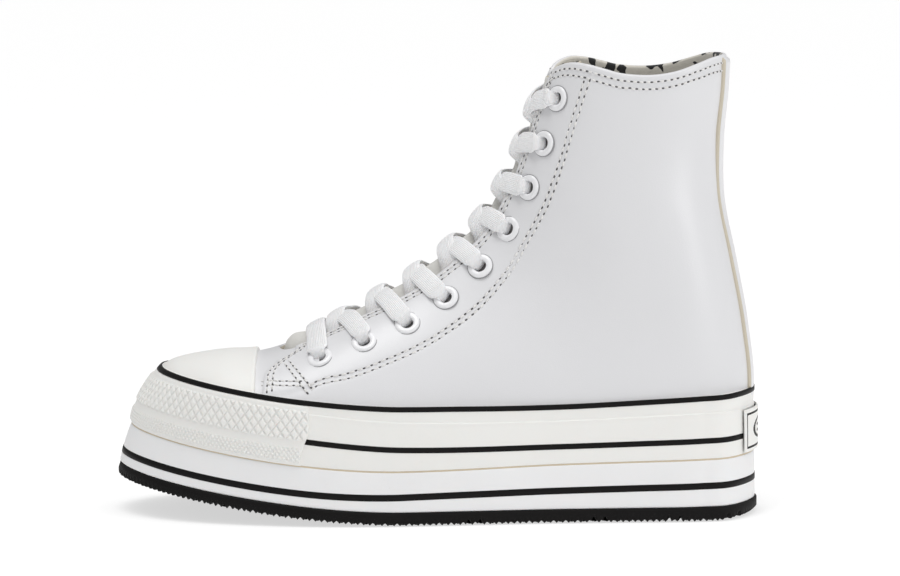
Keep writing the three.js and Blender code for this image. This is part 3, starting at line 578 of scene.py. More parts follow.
M = {
    "leather": material("white_leather", (0.735, 0.735, 0.75), (0.5, 0.5, 0.51), 0.34,
                        grain(1300.0, 0.10), 0.05, 0.12),
    "tongue": material("tongue_leather", (0.70, 0.69, 0.66), (0.45, 0.43, 0.4), 0.5, grain(1100.0, 0.25),
                       0.1),
    "rubber": material("warm_white_rubber", (0.845, 0.84, 0.815), (0.50, 0.47, 0.42), 0.48,
                       grain(300.0, 0.05), 0.14,
                       glow=0.15),
    "foam": material("platform_white", (0.84, 0.84, 0.845), (0.48, 0.46, 0.43), 0.55, grain(700.0, 0.08),
                     0.16,
                     glow=0.15),
    "black": material("black_stripe", (0.0065, 0.006, 0.006), (0.02, 0.018, 0.016), 0.5,
                      grain(500.0, 0.08), 0.3, shine=0.12),
    "tread": material("black_tread", (0.0065, 0.006, 0.006), (0.02, 0.018, 0.016), 0.6,
                      grain(450.0, 0.2), 0.4, shine=0.12),
    "glue": material("glue_seam", (0.62, 0.52, 0.38), (0.4, 0.32, 0.22), 0.6, grain(900.0, 0.2), 0.4),
    "canvas": material("raw_canvas", (0.62, 0.56, 0.45), (0.42, 0.36, 0.28), 0.9, grain(2200.0, 0.6),
                       0.3, sheen=0.2),
    "lining": material("printed_lining", (0.72, 0.69, 0.62), (0.45, 0.4, 0.34), 0.85,
                       weave(5000.0, 5000.0, 0.5), 0.2,
                       sheen=0.2, extra=print_blots),
    "insole": material("insole_cloth", (0.66, 0.64, 0.58), (0.4, 0.36, 0.3), 0.9,
                       weave(4200.0, 4200.0, 0.6), 0.3),
    "lace": material("white_lace", (0.92, 0.92, 0.93), (0.62, 0.61, 0.6), 0.85,
                     weave(4200.0, 3600.0, 0.9), 0.06,
                     sheen=0.3, glow=0.1),
    "thread": material("stitch_thread", (0.84, 0.83, 0.81), (0.5, 0.48, 0.46), 0.7,
                       weave(9000.0, 6000.0, 0.5), 0.2),
    # Near-black for needle holes and the discs deep in the eyelets: painted shade of unlit holes.
    "hole": material("hole_painted_shade", (0.10, 0.095, 0.095), (0.04, 0.04, 0.04), 0.9, grain(1500.0, 0.3), 0.3),
    # Grey for the thin ring round each eyelet flange: painted shade of the rim on the leather.
    "gap": material("eyelet_gap", (0.30, 0.30, 0.31), (0.2, 0.2, 0.2), 0.7, grain(1500.0, 0.2), 0.3),
    "enamel": material("white_enamel", (0.83, 0.83, 0.845), (0.5, 0.5, 0.5), 0.22, grain(500.0, 0.03),
                       0.05, 0.4),
}
print("materials:", len(M))

# %% [markdown]
# ## The upper
# The real upper is cut from flat leather, stitched, and pulled over a last. Here each panel is
# a grid that runs over the lining, round the cut edge and back over the outside, so the wall
# has its thickness and every edge is rounded. The rows end on the collar's curve, which a few
# Newton steps find for each column. Soft troughs and ridges give the slight unevenness of a
# lasted panel, and shallow furrows lie where the stitches pull the leather down.

# %% helpers of the upper
collar_z = through(COLLAR[::-1, 0], COLLAR[::-1, 1])


def reach_of(name, offset):
    """For each side, the distance from the ridge at which the face sinks to a level of the sole."""
    result = {}
    for side in (1, -1):
        p = face(_S[:, None], side * _A[None, :])
        limit = level[name](p[..., 0]) + spring(p[..., 0]) + offset
        sunk = (p[..., 2] < limit) & (_A[None, :] > 0.4)
        first = np.where(sunk.any(1), sunk.argmax(1), len(_A) - 1)
        result[side] = _arc[side][np.arange(len(_S)), first]
    return lambda section, side: np.interp(section, _S, result[side])


bottom = reach_of("seam", 0.4)
whole_arc = lambda section, side: np.interp(section, _S, _arc[side][:, -1])
FRONT = np.array([(0, 6.2), (14, 6.12), (21, 6.06), (25.5, 5.64), (31.6, 5.30), (40, 5.22), (50, 5.18),
                  (90, 5.1)])
front_line = through(FRONT[:, 0], FRONT[:, 1])
STAY_LINE = np.array([
    (6.4, 46.5), (6.67, 45.0), (7.31, 45.9), (7.76, 45.6), (8.43, 44.0), (9.12, 41.4), (9.88, 38.4),
    (10.62, 34.6), (11.44, 32.2), (12.35, 32.0), (13.22, 32.6), (15.83, 32.5), (17.65, 33.3)])
stay_line = through(STAY_LINE[:, 0], STAY_LINE[:, 1])

# Soft folds of the outer side: two ends (x, z), depth (- is a ridge), width, all in mm.
FOLDS = [((-20, 92), (-58, 112), 0.9, 13), ((-38, 118), (-84, 132), -0.7, 15),
         ((-52, 76), (-96, 96), 0.6, 18),
         ((-60, 150), (-98, 160), 0.6, 16), ((-66, 172), (-100, 176), -0.5, 12),
         ((20, 62), (46, 58), 0.4, 9),
         ((-10, 66), (-40, 60), -0.5, 16), ((-108, 96), (-112, 140), -0.6, 14),
         ((-104, 60), (-90, 84), 0.5, 12)]


def folds(p, side):
    """Sum of -depth exp(-(distance to the segment / width)^2), in the side view."""
    total = np.zeros(p.shape[:-1])
    flat = p[..., [0, 2]] + np.array([3.0 * (side < 0), 0])
    for a, b, depth, width in FOLDS:
        a, b = np.array(a, float), np.array(b, float)
        t = np.clip(((flat - a) @ (b - a)) / ((b - a) @ (b - a)), 0, 1)
        far = np.linalg.norm(flat - a - t[..., None] * (b - a), axis=-1)
        total -= depth * np.exp(-((far / width) ** 2))
    return total


def furrow(distance, depth=0.25, width=1.5):
    """A shallow furrow under a double row of stitches."""
    return -depth * np.exp(-((distance / width) ** 2))


def pits(p, side):
    """The skin sinks under each eyelet's hole."""
    sink = np.zeros(p.shape[:-1])
    for s in EYELET_AT:
        centre = away_plus(s, side * hole_away(s), 0)
        sink -= 2.3 * (1 - ease((np.linalg.norm(p - centre, axis=-1) - 2.6) / 1.2))
    return sink


def relief(section, away, side):
    """Folds and furrows of the skin at a distance from the ridge."""
    p = face(section, side * angle_away(section, away))
    half, low = throat_half(section), bottom(section, side)
    out = folds(p, side) * ease((away - half) / 25) * ease((low - away) / 14)
    out = out + furrow(away - stay_line(section)) + furrow(away - half - 3.6)
    return out + furrow(collar_z(p[..., 0]) - p[..., 2] - 3.2), p


def panel(section, u, side, raised, with_pits=True):
    """Closed columns of a side panel: lining from the bottom up, the cut edge, the outside down.

    section and u are grids; the edge is an arc of radius r: away = half + r(1 - sin), out = -c cos.
    """
    half, low = throat_half(section), bottom(section, side)
    radius = 1.3 * np.clip(half / 6, 0, 1)
    edge = np.linspace(0, math.pi, 9)[1:-1]
    away_out = half + radius + (low - half - radius) * u
    out = raised(section, away_out)
    if with_pits:
        shape, p = relief(section, away_out, side)
        out = out + shape + pits(p, side)
    outer = face_plus(section, side * angle_away(section, away_out), out)
    inner = face_plus(section, side * angle_away(section, away_out), -WALL)
    s0, h0, r0, top = section[:, :1], half[:, :1], radius[:, :1], out[:, :1]
    away_edge = h0 + r0 * (1 - np.sin(edge))
    out_edge = mix(-WALL, top, (1 - np.cos(edge)) / 2)
    lip = away_plus(s0 + 0 * away_edge, side * away_edge, out_edge)
    return np.concatenate([inner[:, ::-1], lip, outer], 1)


def panel_marks(rows, columns):
    """Material numbers of a panel's faces: 2 lining, 1 the raw middle of the edge, 0 leather."""
    lip = np.array([2, 1, 1, 1, 1, 0, 0, 0])
    line = np.concatenate([np.full(columns - 1, 2), lip, np.zeros(columns - 1, int)])
    return np.repeat(line[None, :], rows - 1, 0)


def top_section(side, u, steps=14):
    """Newton steps on z(face) = collar height, for each column; the front corner is an arc."""
    s = np.full(u.shape, 18.0)
    for _ in range(steps):
        def miss(q):
            half, low = throat_half(q), bottom(q, side)
            r = 1.3
            p = face(q, side * angle_away(q, half + r + (low - half - r) * u))
            return p[..., 2] - collar_z(p[..., 0])
        slope = (miss(s + 0.02) - miss(s - 0.02)) / 0.04
        s = np.clip(s - 0.8 * miss(s) / np.maximum(slope, 4), 15.5, LAST - 0.05)
    corner = np.clip(1 - (bottom(s, side) - throat_half(s)) * u / 4.5, 0, 1)
    return s - 0.39 * (1 - np.sqrt(1 - corner ** 2))


# %% vamp: the panel in front of the throat
vamp = Shell()
s = np.linspace(4.6, 5.56, 26)[:, None]
share = np.linspace(-1, 1, 141)[None]
away = share * np.where(share > 0, bottom(s, 1), bottom(s, -1))
over, under = (face_plus(s + 0 * away, angle_away(s + 0 * away, away),
                         out + 0 * away) for out in (0.0, -WALL))
layer = np.concatenate([np.zeros(140, int), np.full(142, 2)])
vamp.grid(np.concatenate([over, under[:, ::-1]], 1), loop_columns=True, mark=np.repeat(layer[None], 25, 0))
u = np.linspace(0, 1, 70)
s = np.concatenate([5.56 + 0.5 * np.linspace(0, 1, 24) ** 1.6,
                    np.linspace(6.12, 6.7, 8)])[:, None] + 0 * u[None]
for side in (1, -1):
    grid = panel(s, u[None] + 0 * s, side, lambda s, a: 0 * a, False)
    vamp.grid(grid, mark=panel_marks(len(s), len(u)))
vamp.build("vamp", "leather", materials=[M["leather"], M["canvas"], M["lining"]])

# %% [markdown]
# ## Quarters
# The quarters are the big side panels. Their rows run from the front line to the collar, and
# the front line is found by repeated averaging, because it depends on where the rows begin.
# The collar is a half circle from outside to lining, so the rim is round and closed.

# %% quarters: the two side panels up to the collar
quarters = Shell()
u = np.linspace(0, 1, 112)
raised = lambda s, a: 0.3 + 0.5 * (1 - ease((s - 6.6) / 3.5)) * ease((a + 30) / 20)
for side in (1, -1):
    start = np.full(u.shape, 6.0)
    for _ in range(40):
        away = mix(throat_half(start), bottom(start, side), u)
        start = 0.6 * start + 0.4 * front_line(away)
    top = top_section(side, u)
    r = np.linspace(0, 1, 200)[:, None]
    s = mix(start[None], top[None], r)
    grid = panel(s, u[None] + 0 * r, side, raised)
    low = panel(s[:1] - 0.035, u[None] + 0 * r[:1], side, lambda s, a: -0.25 + 0 * a)
    mid = panel(s[:1] - 0.03, u[None] + 0 * r[:1], side, lambda s, a: 0.5 + 0 * a)
    quarters.grid(np.concatenate([low, mid, grid]), mark=panel_marks(202, len(u)))
    last, count = grid[-1], len(u)
    outer, inner = last[-count:], last[:count][::-1]
    turn = np.linspace(0, math.pi, 9)[:, None, None]
    middle, spread = (outer + inner) / 2, (outer - inner) / 2
    upwards = unit(grid[-1] - grid[-4])[-count:]
    rim = middle + spread * np.cos(turn) + upwards * 1.2 * np.sin(turn)
    quarters.grid(rim, mark=np.array([0, 0, 0, 0, 0, 2, 2, 2])[:, None] + np.zeros((1, count - 1), int))
    corner = last[count - 1:count + 8]
    quarters.grid(np.stack([mix(rim[::-1, 0], corner, t) for t in np.linspace(0, 1, 5)]))
quarters.build("quarters", "leather", ["upper"], [M["leather"], M["canvas"], M["lining"]])

# %% [markdown]
# ## Toe cap
# The cap is one moulded shell that grips the front of the vamp. Its back edge is a row of short
# steps that turn down to the leather, which rounds it and lets it cast a thin shadow.

# %% toe cap
cap = Shell()
cap_reach = reach_of("rim", -2.5)
edge_rows = np.array([(4.90, 1.8), (4.925, 1.76), (4.945, 1.6), (4.958, 1.25), (4.964, 0.7),
                      (4.965, 0.0), (4.965, -0.6)])
s_rows = np.concatenate([np.linspace(1.5, 4.86, 90), edge_rows[:, 0]])
o_rows = np.concatenate([np.full(90, 1.8), edge_rows[:, 1]])
share = np.linspace(-1, 1, 161)
reach = np.where(share > 0, np.maximum(cap_reach(s_rows, 1), 4)[:, None],
                 np.maximum(cap_reach(s_rows, -1), 4)[:, None])
away = reach * share
s = s_rows[:, None] + 0 * away
outside = face_plus(s, angle_away(s, away), o_rows[:, None] + 0 * away)
inside = face_plus(s, angle_away(s, away), np.minimum(o_rows[:, None], 0.3) - 0.2 + 0 * away)
cap.grid(np.concatenate([outside, inside[:, ::-1]], 1), loop_columns=True)
cap.build("rubber_toe_cap", "white_rubber", ["toe_cap"], [M["rubber"]])

# %% [markdown]
# ## Tongue
# A padded strip of leather under the facings. Between them nothing holds it down, so it bows
# up: a squared cosine across the opening gives the bulge and dies out under both edges.

# %% tongue
tongue = Shell()
s_rows = np.concatenate([np.linspace(5.45, 6.9, 50), np.linspace(6.95, 17.3, 165)])[:, None]
share = np.linspace(-1, 1, 81)[None]
s = s_rows + 0.6 * share ** 2 * ease((s_rows - 15.3) / 2)
away = share * TONGUE_HALF * mix(0.6, 1, np.clip((s - 5.4) / 1.6, 0, 1))
half = np.maximum(throat_half(s) - 1.2, 0.1)
bow = np.where(np.abs(away) < half, np.cos(math.pi * away / (2 * half)) ** 2, 0)
out = mix(-TONGUE_DEPTH, throat_crest(s), bow) + 0.25 * np.sin(s * 7.0) * bow
over, under = away_plus(s, away, out), away_plus(s, away, out - TONGUE_WALL)
ring = np.concatenate([over, under[:, ::-1]], 1)
line = np.concatenate([np.zeros(80, int), [1], np.full(80, 1), [1]])
tongue.grid(ring, loop_columns=True, mark=np.repeat(line[None], len(s_rows) - 1, 0))
for row, end in ((0, -1), (-1, 1)):
    tip = mix(over[row], under[row], 0.5) + unit(over[row] - over[row - end]) * 0.9
    tongue.grid(np.stack([over[row], mix(over[row], tip, .7), tip, mix(under[row], tip, .7),
                          under[row]]), mark=1)
tongue.build("tongue_skin", "tongue_leather", ["tongue"], [M["tongue"], M["canvas"]])

# %% [markdown]
# ## Heel strip
# A strip folded over the back seam. Distances are counted back from the seam on each side, so
# it follows the heel's curve, and its two lowest steps are the raw canvas beneath.

# %% heel strip
strip = Shell()
s_rows = np.linspace(12.95, 18.47, 150)[:, None]
b = np.array([-12.3, -12.2, -12.0, -11.7, -11.2, -10.6, *np.linspace(-9.8, 9.8, 29), 10.6, 11.2, 11.7,
              12.0, 12.2, 12.3])[None]
height = np.interp(np.abs(b), [0, 10.6, 11.2, 11.7, 12.0, 12.2, 12.3], [1.75, 1.7, 1.6, 1.15, 1.1, 0.9, 0.1])
total = np.where(b >= 0, whole_arc(s_rows, 1), whole_arc(s_rows, -1))
where = np.sign(b + 1e-9) * (total - np.abs(b))
s = s_rows + 0 * b
taper = ease((18.48 - s) / 0.06)
top = away_plus(s, where, 0.2 + (height - 0.2) * taper)
base = away_plus(s, where, -0.4 + 0 * s)
line = np.where(np.abs(b[0, :-1] + b[0, 1:]) / 2 > 11.3, 1, 0)
line = np.concatenate([line, [1], np.ones(b.size - 1, int), [1]])
strip.grid(np.concatenate([top, base[:, ::-1]], 1), loop_columns=True,
           mark=np.repeat(line[None], len(s_rows) - 1, 0))
strip.build("heel_strip", "leather", ["heel_stay"], [M["leather"], M["canvas"]])

# %% [markdown]
# ## Insole
# A cloth covered pad on the platform. Rings shrink from the sole's inner edge to a spine,
# which makes an even closed sheet, and a low hump stands for the arch.

# %% insole
insole = Shell()
a = np.linspace(0, 2 * math.pi, 181)[:-1]
radial = np.array([0, .5, .8, .93, .98, 1.0])[:, None, None]
edge = sole_edge(a) + sole_inside(a) * (6.2 + 15 * toe_share(sole_edge(a)[:, 0]))[:, None]
spine = np.stack([np.clip(edge[:, 0], -95, 85), 0 * a], -1)
plan = mix(spine[None], edge[None], radial)
z = level["seam"](plan[..., 0]) + spring(plan[..., 0]) + 4.3
z = z - 0.6 * (radial[..., 0] > 0.99) + 1.2 * np.exp(-((np.hypot(plan[..., 0] + 20, plan[..., 1]
                                                                 + 26) / 30) ** 2))
insole.grid(np.concatenate([plan, z[..., None]], -1), loop_columns=True)
insole.build("insole_top", "lining", ["insole"], [M["insole"]])

# %% [markdown]
# ## Rolled eyelets
# An eyelet is a brass ring pressed round the edge of a hole and painted. Its section is a low
# dome that curls down into the hole, so one profile turned about an axis makes it. A dark
# disc lies deep in each hole, where one would look into the unlit inside of the shoe: painted
# shade. A thin grey ring round each flange is painted shade too, the shadow of the rim on the leather.

# %% eyelets
eyelets, holes, gaps = Shell(), Shell(), Shell()
t = np.linspace(0, math.pi, 9)
radius = np.concatenate([[5.4, 5.38], 4.0 + 1.35 * np.cos(t), [2.62, 2.6]])
rise = np.concatenate([[-0.2, 0.1], 0.2 + 0.85 * np.sin(t) ** 0.8, [-0.6, -1.9]])
# Thin grey ring just outside each flange, coloured as painted shade of the rim.
shade_ring_radius, shade_ring_rise = np.array([5.3, 5.4, 5.6, 5.7]), np.array([-0.3, 0.16, 0.16, -0.3])
spin = np.linspace(0, 2 * math.pi, 41)[:-1]
for s0 in EYELET_AT:
    for side in (1, -1):
        place = side * hole_away(s0)
        centre, n = away_plus(s0, place, 0.35), away_normal(s0, place)
        e1 = unit(np.cross(n, [0.0, 1.0, 0.2]))
        e2 = np.cross(n, e1)
        circle = np.cos(spin)[:, None] * e1 + np.sin(spin)[:, None] * e2
        eyelets.grid(centre + radius[:, None, None] * circle[None] + rise[:, None, None] * n,
                     loop_columns=True)
        gaps.grid(centre + shade_ring_radius[:, None, None] * circle[None] + shade_ring_rise[:, None, None] * n,
                  loop_columns=True)
        disc = centre + np.array([0.01, 2.75])[:, None, None] * circle[None] - 1.7 * n
        holes.grid(disc, loop_columns=True)
names = ["eyelet_%s_%d" % (w, i + 1) for w in ("outer", "inner") for i in range(EYELETS)]
eyelets.build("rolled_eyelets", "eyelet", names, [M["enamel"]])
holes.build("eyelet_depths", "eyelet", materials=[M["hole"]])
gaps.build("eyelet_gaps", "eyelet", materials=[M["gap"]])

# %% [markdown]
# ## The lace
# A flat cotton lace: a crowned strap about two millimetres thick. Each arm comes up from under
# one facing, climbs over the tongue, rests on the other facing and dives through its eyelet,
# where it bunches and narrows. The heights over the upper's face are eased from one stretch
# to the next, and the arms that go to the inner side pass over the others.

# %% lace paths
LACE_HALF, LACE_THICK = 4.5, 0.95
turn = np.linspace(0, 2 * math.pi, 29)[:-1]
LACE = np.stack([LACE_HALF * np.sign(np.cos(turn)) * np.abs(np.cos(turn)) ** 0.8,
                 LACE_THICK * np.sign(np.sin(turn)) * np.abs(np.sin(turn)) ** 0.7], -1)
laces, runs = Shell(), []


def strap(section, away, out, side, width, droop=0.0):
    """One arm: the path in (section, away, height) swept with the crowned profile."""
    place = side * away
    path = away_plus(section, place, out)
    up = away_normal(section, place)
    runs.append(np.linalg.norm(np.diff(path, axis=0), axis=1).sum())
    along = unit(np.gradient(path, axis=0))
    across = unit(np.cross(along, up))
    top = np.cross(across, along)
    p = LACE[None] * np.stack([width, 1 + 0.35 * (1 - width)], -1)[:, None]
    sag = droop * (p[..., 0] / LACE_HALF) ** 2
    ring = path[:, None] + across[:, None] * p[..., :1] + top[:, None] * (p[..., 1:] - sag[..., None])
    uv = np.stack(np.broadcast_arrays(
        LACE[None, :, 0] * np.ones((len(path), 1)),
        np.cumsum(np.linalg.norm(np.diff(path, axis=0, prepend=path[:1]), axis=1))[:, None]), -1)
    laces.solid_rows(ring, uv=np.concatenate([uv[:1], uv, uv[-1:]]))


def arm(low, high, side, lap, seed):
    """From under the facing at `low` to the eyelet at `high`."""
    start, end = -(throat_half(low) + 7.0), hole_away(high)
    t = np.linspace(0, 1, 70)
    away = mix(start, end, t)
    base = mix(low, high, np.clip(mix((end - throat_half(low)) / (2 * end) - 0.1 + 0.06, 1, t), 0, 1))
    climb = ease((away + throat_half(low) + 1.5) / 10)
    out = mix(-3.6, 1.45, climb)
    out = mix(out, 1.85, ease((away - 0.35 * throat_half(high)) / 6))
    out = mix(out, 2.75, ease((end - away < 6.5) * (away - end + 6.5) / 3.5))
    ripple = 0.25 * np.sin(seed * 2.1 + t * 5) * ease(away / 8) * ease((end - away) / 5)
    out = out + lap * np.exp(-((away / 6.0) ** 2)) + ripple
    dive = ease((away - (end - 2.6)) / 3.2)
    out = out - 4.6 * dive
    away = away - 0.9 * dive
    width = 1 - 0.40 * ease((away - (end - 4.6)) / 4.0) - 0.05 * np.sin(seed + t * 4) ** 2
    drift = 0.05 * np.sin(seed * 1.7) * ease(away / 10) * ease((end - away) / 6)
    strap(base + drift, away, out, side, width, 0.35)


for i in range(1, EYELETS):
    arm(EYELET_AT[i - 1], EYELET_AT[i], 1, 0.0, i)
    arm(EYELET_AT[i - 1], EYELET_AT[i], -1, 1.7, i + 0.5)
reach = hole_away(EYELET_AT[0])
t = np.linspace(-1, 1, 90)
away = t * reach
near = np.abs(away)
out = mix(2.9, 1.95, ease((near - 7) / 8)) + 0.9 * ease((near - reach + 6.5) / 3.5)
out = out - 4.6 * ease((near - reach + 2.6) / 3.2)
width = 1 - 0.40 * ease((near - reach + 4.6) / 4)
strap(EYELET_AT[0] - 0.02 + 0 * t, away * (1 - 0.03 * ease((near - reach + 2.6) / 3)), out, 1, width, 0.3)
print("lace arms and bar: %d runs, %.0f mm in all" % (len(runs), sum(runs)))
names = ["lace_bar"] + ["lace_cross_%d" % i for i in range(1, EYELETS)]
laces.build("flat_lace", "lace", names, [M["lace"]])

# %% [markdown]
# ## Stitches
# A seam is a line on the face, walked at an even pitch. Each stitch is a short capsule sunk
# half into the leather with a shallow pit at its end, coloured near-black as painted shade
# for the needle hole. All capsules are copies of one small block of points, so a thousand
# stitches are one array sum and one mesh.

# %% stitches
threads, needles = Shell(), Shell()
CAP = np.array([(-1, .25), (-.8, .75), (-.35, 1), (.35, 1), (.8, .75), (1, .25)])
six = np.linspace(0, 2 * math.pi, 7)[:-1]


def stitch_row(section, away, side, out, pitch=3.5, length=2.3):
    """Stitches along a line given by dense arrays of section and distance."""
    n = len(section)
    fine = np.linspace(0, n - 1, n * 12)
    section, away = np.interp(fine, np.arange(n), section), np.interp(fine, np.arange(n), away)
    line = away_plus(section, side * away, 0)
    walked = np.concatenate([[0], np.cumsum(np.linalg.norm(np.diff(line, axis=0), axis=1))])
    middle = np.arange(pitch / 2, walked[-1], pitch)
    middle = middle + rng.normal(0, 0.06, len(middle))
    s, a = np.interp(middle, walked, section), side * np.interp(middle, walked, away)
    height = out(s, np.abs(a), side)
    p = away_plus(s, a, height + 0.08)
    place_at = lambda walk: np.stack([np.interp(walk, walked, line[:, k]) for k in range(3)], -1)
    ahead = place_at(middle + 0.3) - place_at(middle - 0.3)
    n_ = away_normal(s, a)
    f = unit(ahead)
    g = unit(np.cross(f, n_))
    tilt = rng.normal(0, 0.05, len(s))[:, None]
    f = unit(f + g * tilt)
    g = unit(np.cross(f, n_))
    up = np.cross(g, f)
    thick = 0.42
    long = CAP[:, 0] * length / 2
    wide = CAP[:, 1] * thick
    lift = -0.28 * (CAP[:, 0] ** 4)
    block = (p[:, None, None] + f[:, None, None] * long[None, :, None, None]
             + g[:, None, None] * (wide[:, None] * np.cos(six))[None, ..., None]
             + up[:, None, None] * (wide[:, None] * np.sin(six) + lift[:, None])[None, ..., None])
    threads.copies(block)
    # Oval pit past each stitch: its near-black colour is painted shade for the needle hole.
    spot = away_plus(s, a, height - 0.02) + f * pitch / 2
    ring = np.array([(0.02, 0.12), (0.34, 0.12), (0.44, -0.1)])
    oval = 1.7 * np.cos(six)[:, None] * f[:, None, None] + np.sin(six)[:, None] * g[:, None, None]
    pit = spot[:, None, None] + ring[:, :1, None] * oval + ring[:, 1:, None] * up[:, None, None]
    needles.copies(pit)


def skin_out(section, away, side):
    """Height of the quarter's skin where stitches lie."""
    return raised(section, away) + relief(section, away, side)[0]


def front_out(section, away, side):
    """Height of the stitches that cross from the vamp to the quarter."""
    return np.where(section > front_line(away), raised(section, away), 0) - 0.03


for side in (1, -1):
    s = np.linspace(6.4, 17.62, 150)
    for shift in (-1.1, 1.1):
        stitch_row(s, stay_line(s) - shift, side, skin_out)
    s = np.linspace(6.25, 16.95, 150)
    for shift in (1.9, 4.1):
        stitch_row(s, throat_half(s) + shift + 0.6, side, skin_out)
    a = np.linspace(17, 44, 60)
    for shift in (0.10, 0.24):
        stitch_row(front_line(a) + shift, a, side, front_out, 3.0, 2.0)
    second = np.linspace(0, 1, 40)
    for shift in (0, 2.4):
        across = mix(28.4, 48.5, second ** 0.85) - shift * 0.7
        stitch_row(mix(5.80, 6.36, second) + shift * 0.045, across, side, front_out, 3.0, 2.0)
    level_run = np.linspace(0, 1, 30)
    for shift in (0, 2.2):
        across = mix(36.6, 42.5, level_run) + shift
        stitch_row(mix(5.09, 6.28, level_run), across, side, front_out, 3.0, 2.0)
    u = np.linspace(0.0, 0.93, 160)
    top = top_section(side, u)
    half, low = throat_half(top), bottom(top, side)
    a = half + 1.3 + (low - half - 1.3) * u
    for shift in (1.65, 4.4):
        drop = shift / np.interp(u, [0, 1], [11.5, 22])
        stitch_row(top - drop, a + 2.5 * (u < 0.02), side, skin_out, 2.8, 1.8)
threads.build("stitches", "leather", materials=[M["thread"]], weld=0)
needles.build("needle_holes_painted_shade", "leather", materials=[M["hole"]], weld=0)

# %% [markdown]
# ## The sole
# Foxing, bumper, platform and outsole are profiles carried round the outline. The wall is
# measured from the outsole's edge inwards, so each layer is a list of heights with a little
# more or less inset. Moulded marks are real relief: the diamonds of the bumper, the ledge,
# the stripes that stand a hair proud, and the saw teeth under the edge.

# %% carrying a profile round the sole
def round_sole(distance, profile):
    """profile: rows of (height function, outwards). Grid: one row per station of the walk."""
    angle = angle_at(distance)
    x = sole_edge(angle)[..., 0]
    return np.stack([wall_point(angle, z(x) if callable(z) else z + 0 * x, out) for z, out in profile], 1)


def above(name, rise=0.0):
    """Height function: a level of the sole plus a rise."""
    return lambda x: level[name](x) + rise


def between(low, high, t):
    """Height function between two others."""
    return lambda x: mix(low(x), high(x), t)


stations = np.arange(0, ROUND, ROUND / 700)

# %% foxing
def profile_of(*rows):
    """Rows (level name, rise above it, outwards) as a profile."""
    return [(above(name, rise), out) for name, rise, out in rows]


foxing = Shell()
profile = profile_of(("seam", 0.5, -6), ("seam", 0.35, -0.45), ("seam", 0.55, -0.1), ("seam", 1.0, 0.0))
profile += [(between(above("seam", 1.0), above("ledge", -0.3), t), 0.02) for t in np.linspace(0.08, 1, 12)]
profile += profile_of(("ledge", 0, 0.1), ("ledge", 0.25, 0), ("ledge", 0.45, -0.32), ("ledge", 0.8, -0.38))
profile += [(between(above("ledge", 0.8), above("rim", -2.3), t),
             0.38 * t - 0.38) for t in (0.3, 0.6, 0.9, 1)]
profile += profile_of(("rim", -0.5, 0), ("rim", -0.15, -0.12), ("rim", 0, -0.5), ("rim", 0, -2),
                      ("rim", -0.6, -5), ("rim", -2.5, -7))
foxing.grid(round_sole(stations, profile), loop_rows=True)
foxing.build("foxing_wall", "white_rubber", ["foxing"], [M["rubber"]])


def flat_band(name, slot, low, high, out, span, replaces, finish, edge=0.25):
    """A thin band laid on the wall with rounded edges."""
    shell = Shell()
    profile = [(low, -0.6), (low, out - edge), (between(low, high, 0.06), out),
               (between(low, high, 0.5), out + 0.04), (between(low, high, 0.94), out), (high, out - edge),
               (high, -0.6)]
    grid = round_sole(span, profile)
    shell.grid(grid, loop_rows=len(span) == len(stations), loop_columns=True)
    if len(span) != len(stations):
        for row in (0, -1):
            shell.grid(np.stack([grid[row], np.broadcast_to(grid[row].mean(0), grid[row].shape)]))
    return shell.build(name, slot, replaces, [finish])


side_start, side_end = distance_of(BUMPER_X + 4.6), distance_of(PATCH_X) + 0.6
span = np.linspace(side_start, side_end, 420)
middle, lines = (above("band"), above("band", BAND_HEIGHT)), (above("line"), above("line", LINE_HEIGHT))
for name, heights, out, run, node in (
        ("pinstripe", (above("rim", -PIN_HEIGHT), above("rim", 0.12)), 0.22, stations, "foxing_pinstripe"),
        ("stripe_outer", middle, 0.16, span, "foxing_stripe_outer"),
        ("stripe_inner", middle, 0.16, -span[::-1], "foxing_stripe_inner"),
        ("line_platform", lines, 0.12, stations, "platform_stripe")):
    flat_band(name, "black_stripe", *heights, out, run, [node], M["black"])
glue = above("seam", -0.3), above("seam", 0.55)
flat_band("glue_line", "white_rubber", *glue, -0.22, stations, [], M["glue"], 0.1)

# %% [markdown]
# ## Toe bumper
# A rubber strip is rolled round the toe with a diamond tread pressed in. The smaller of two
# slanted triangle waves gives diamonds; easing them early leaves flat tops and thin grooves.

# %% toe bumper
bumper = Shell()
reach = distance_of(BUMPER_X)
d = np.linspace(-reach, reach, 700)
low, high = above("seam", 0.3), above("rim", -PIN_HEIGHT - 0.15)
v = np.linspace(0, 1, 84)
slant = 3.4 * ease((0.62 - v) / 0.5)
d = d[:, None] * (1 - slant / reach)[None]
angle = angle_at(d)
x = sole_edge(angle)[..., 0]
tall = high(x) - low(x)
zz = v[None, :] * 24.0
ridge = lambda t: np.abs(((t % 1) - 0.5) * 2)
window = lambda a, b, soft: ease((v[None] - a) / soft) * ease((b - v[None]) / soft)
big = np.minimum(ridge(d / 3.9 + zz / 5.0), ridge(d / 3.9 - zz / 5.0))
fine = np.minimum(ridge(d / 1.9 + zz / 2.4), ridge(d / 1.9 - zz / 2.4))
big = ease(2.3 * big)
relief = 0.75 * big * window(0.42, 0.92, 0.02) + 0.8 * fine * window(0.045, 0.30, 0.015)
lip = np.interp(v, [0, 0.015, 0.04, 0.97, 0.99, 1], [-0.5, -0.1, 0, 0, -0.1, -0.5])[None]
near_end = np.abs(d) + slant[None]
ends = np.interp(near_end, [reach - 0.9, reach - 0.3, reach], [0, -0.12, -0.6])
swell = 0.6 * (1 - toe_share(x))
out = swell + 0.25 + relief + lip + ends
plan_z = low(x) + tall * v[None]
bump_grid = wall_point(angle, plan_z, out)
back = wall_point(angle, plan_z, -0.8 + 0 * out)
few = np.linspace(len(v) - 1, 0, 8).astype(int)
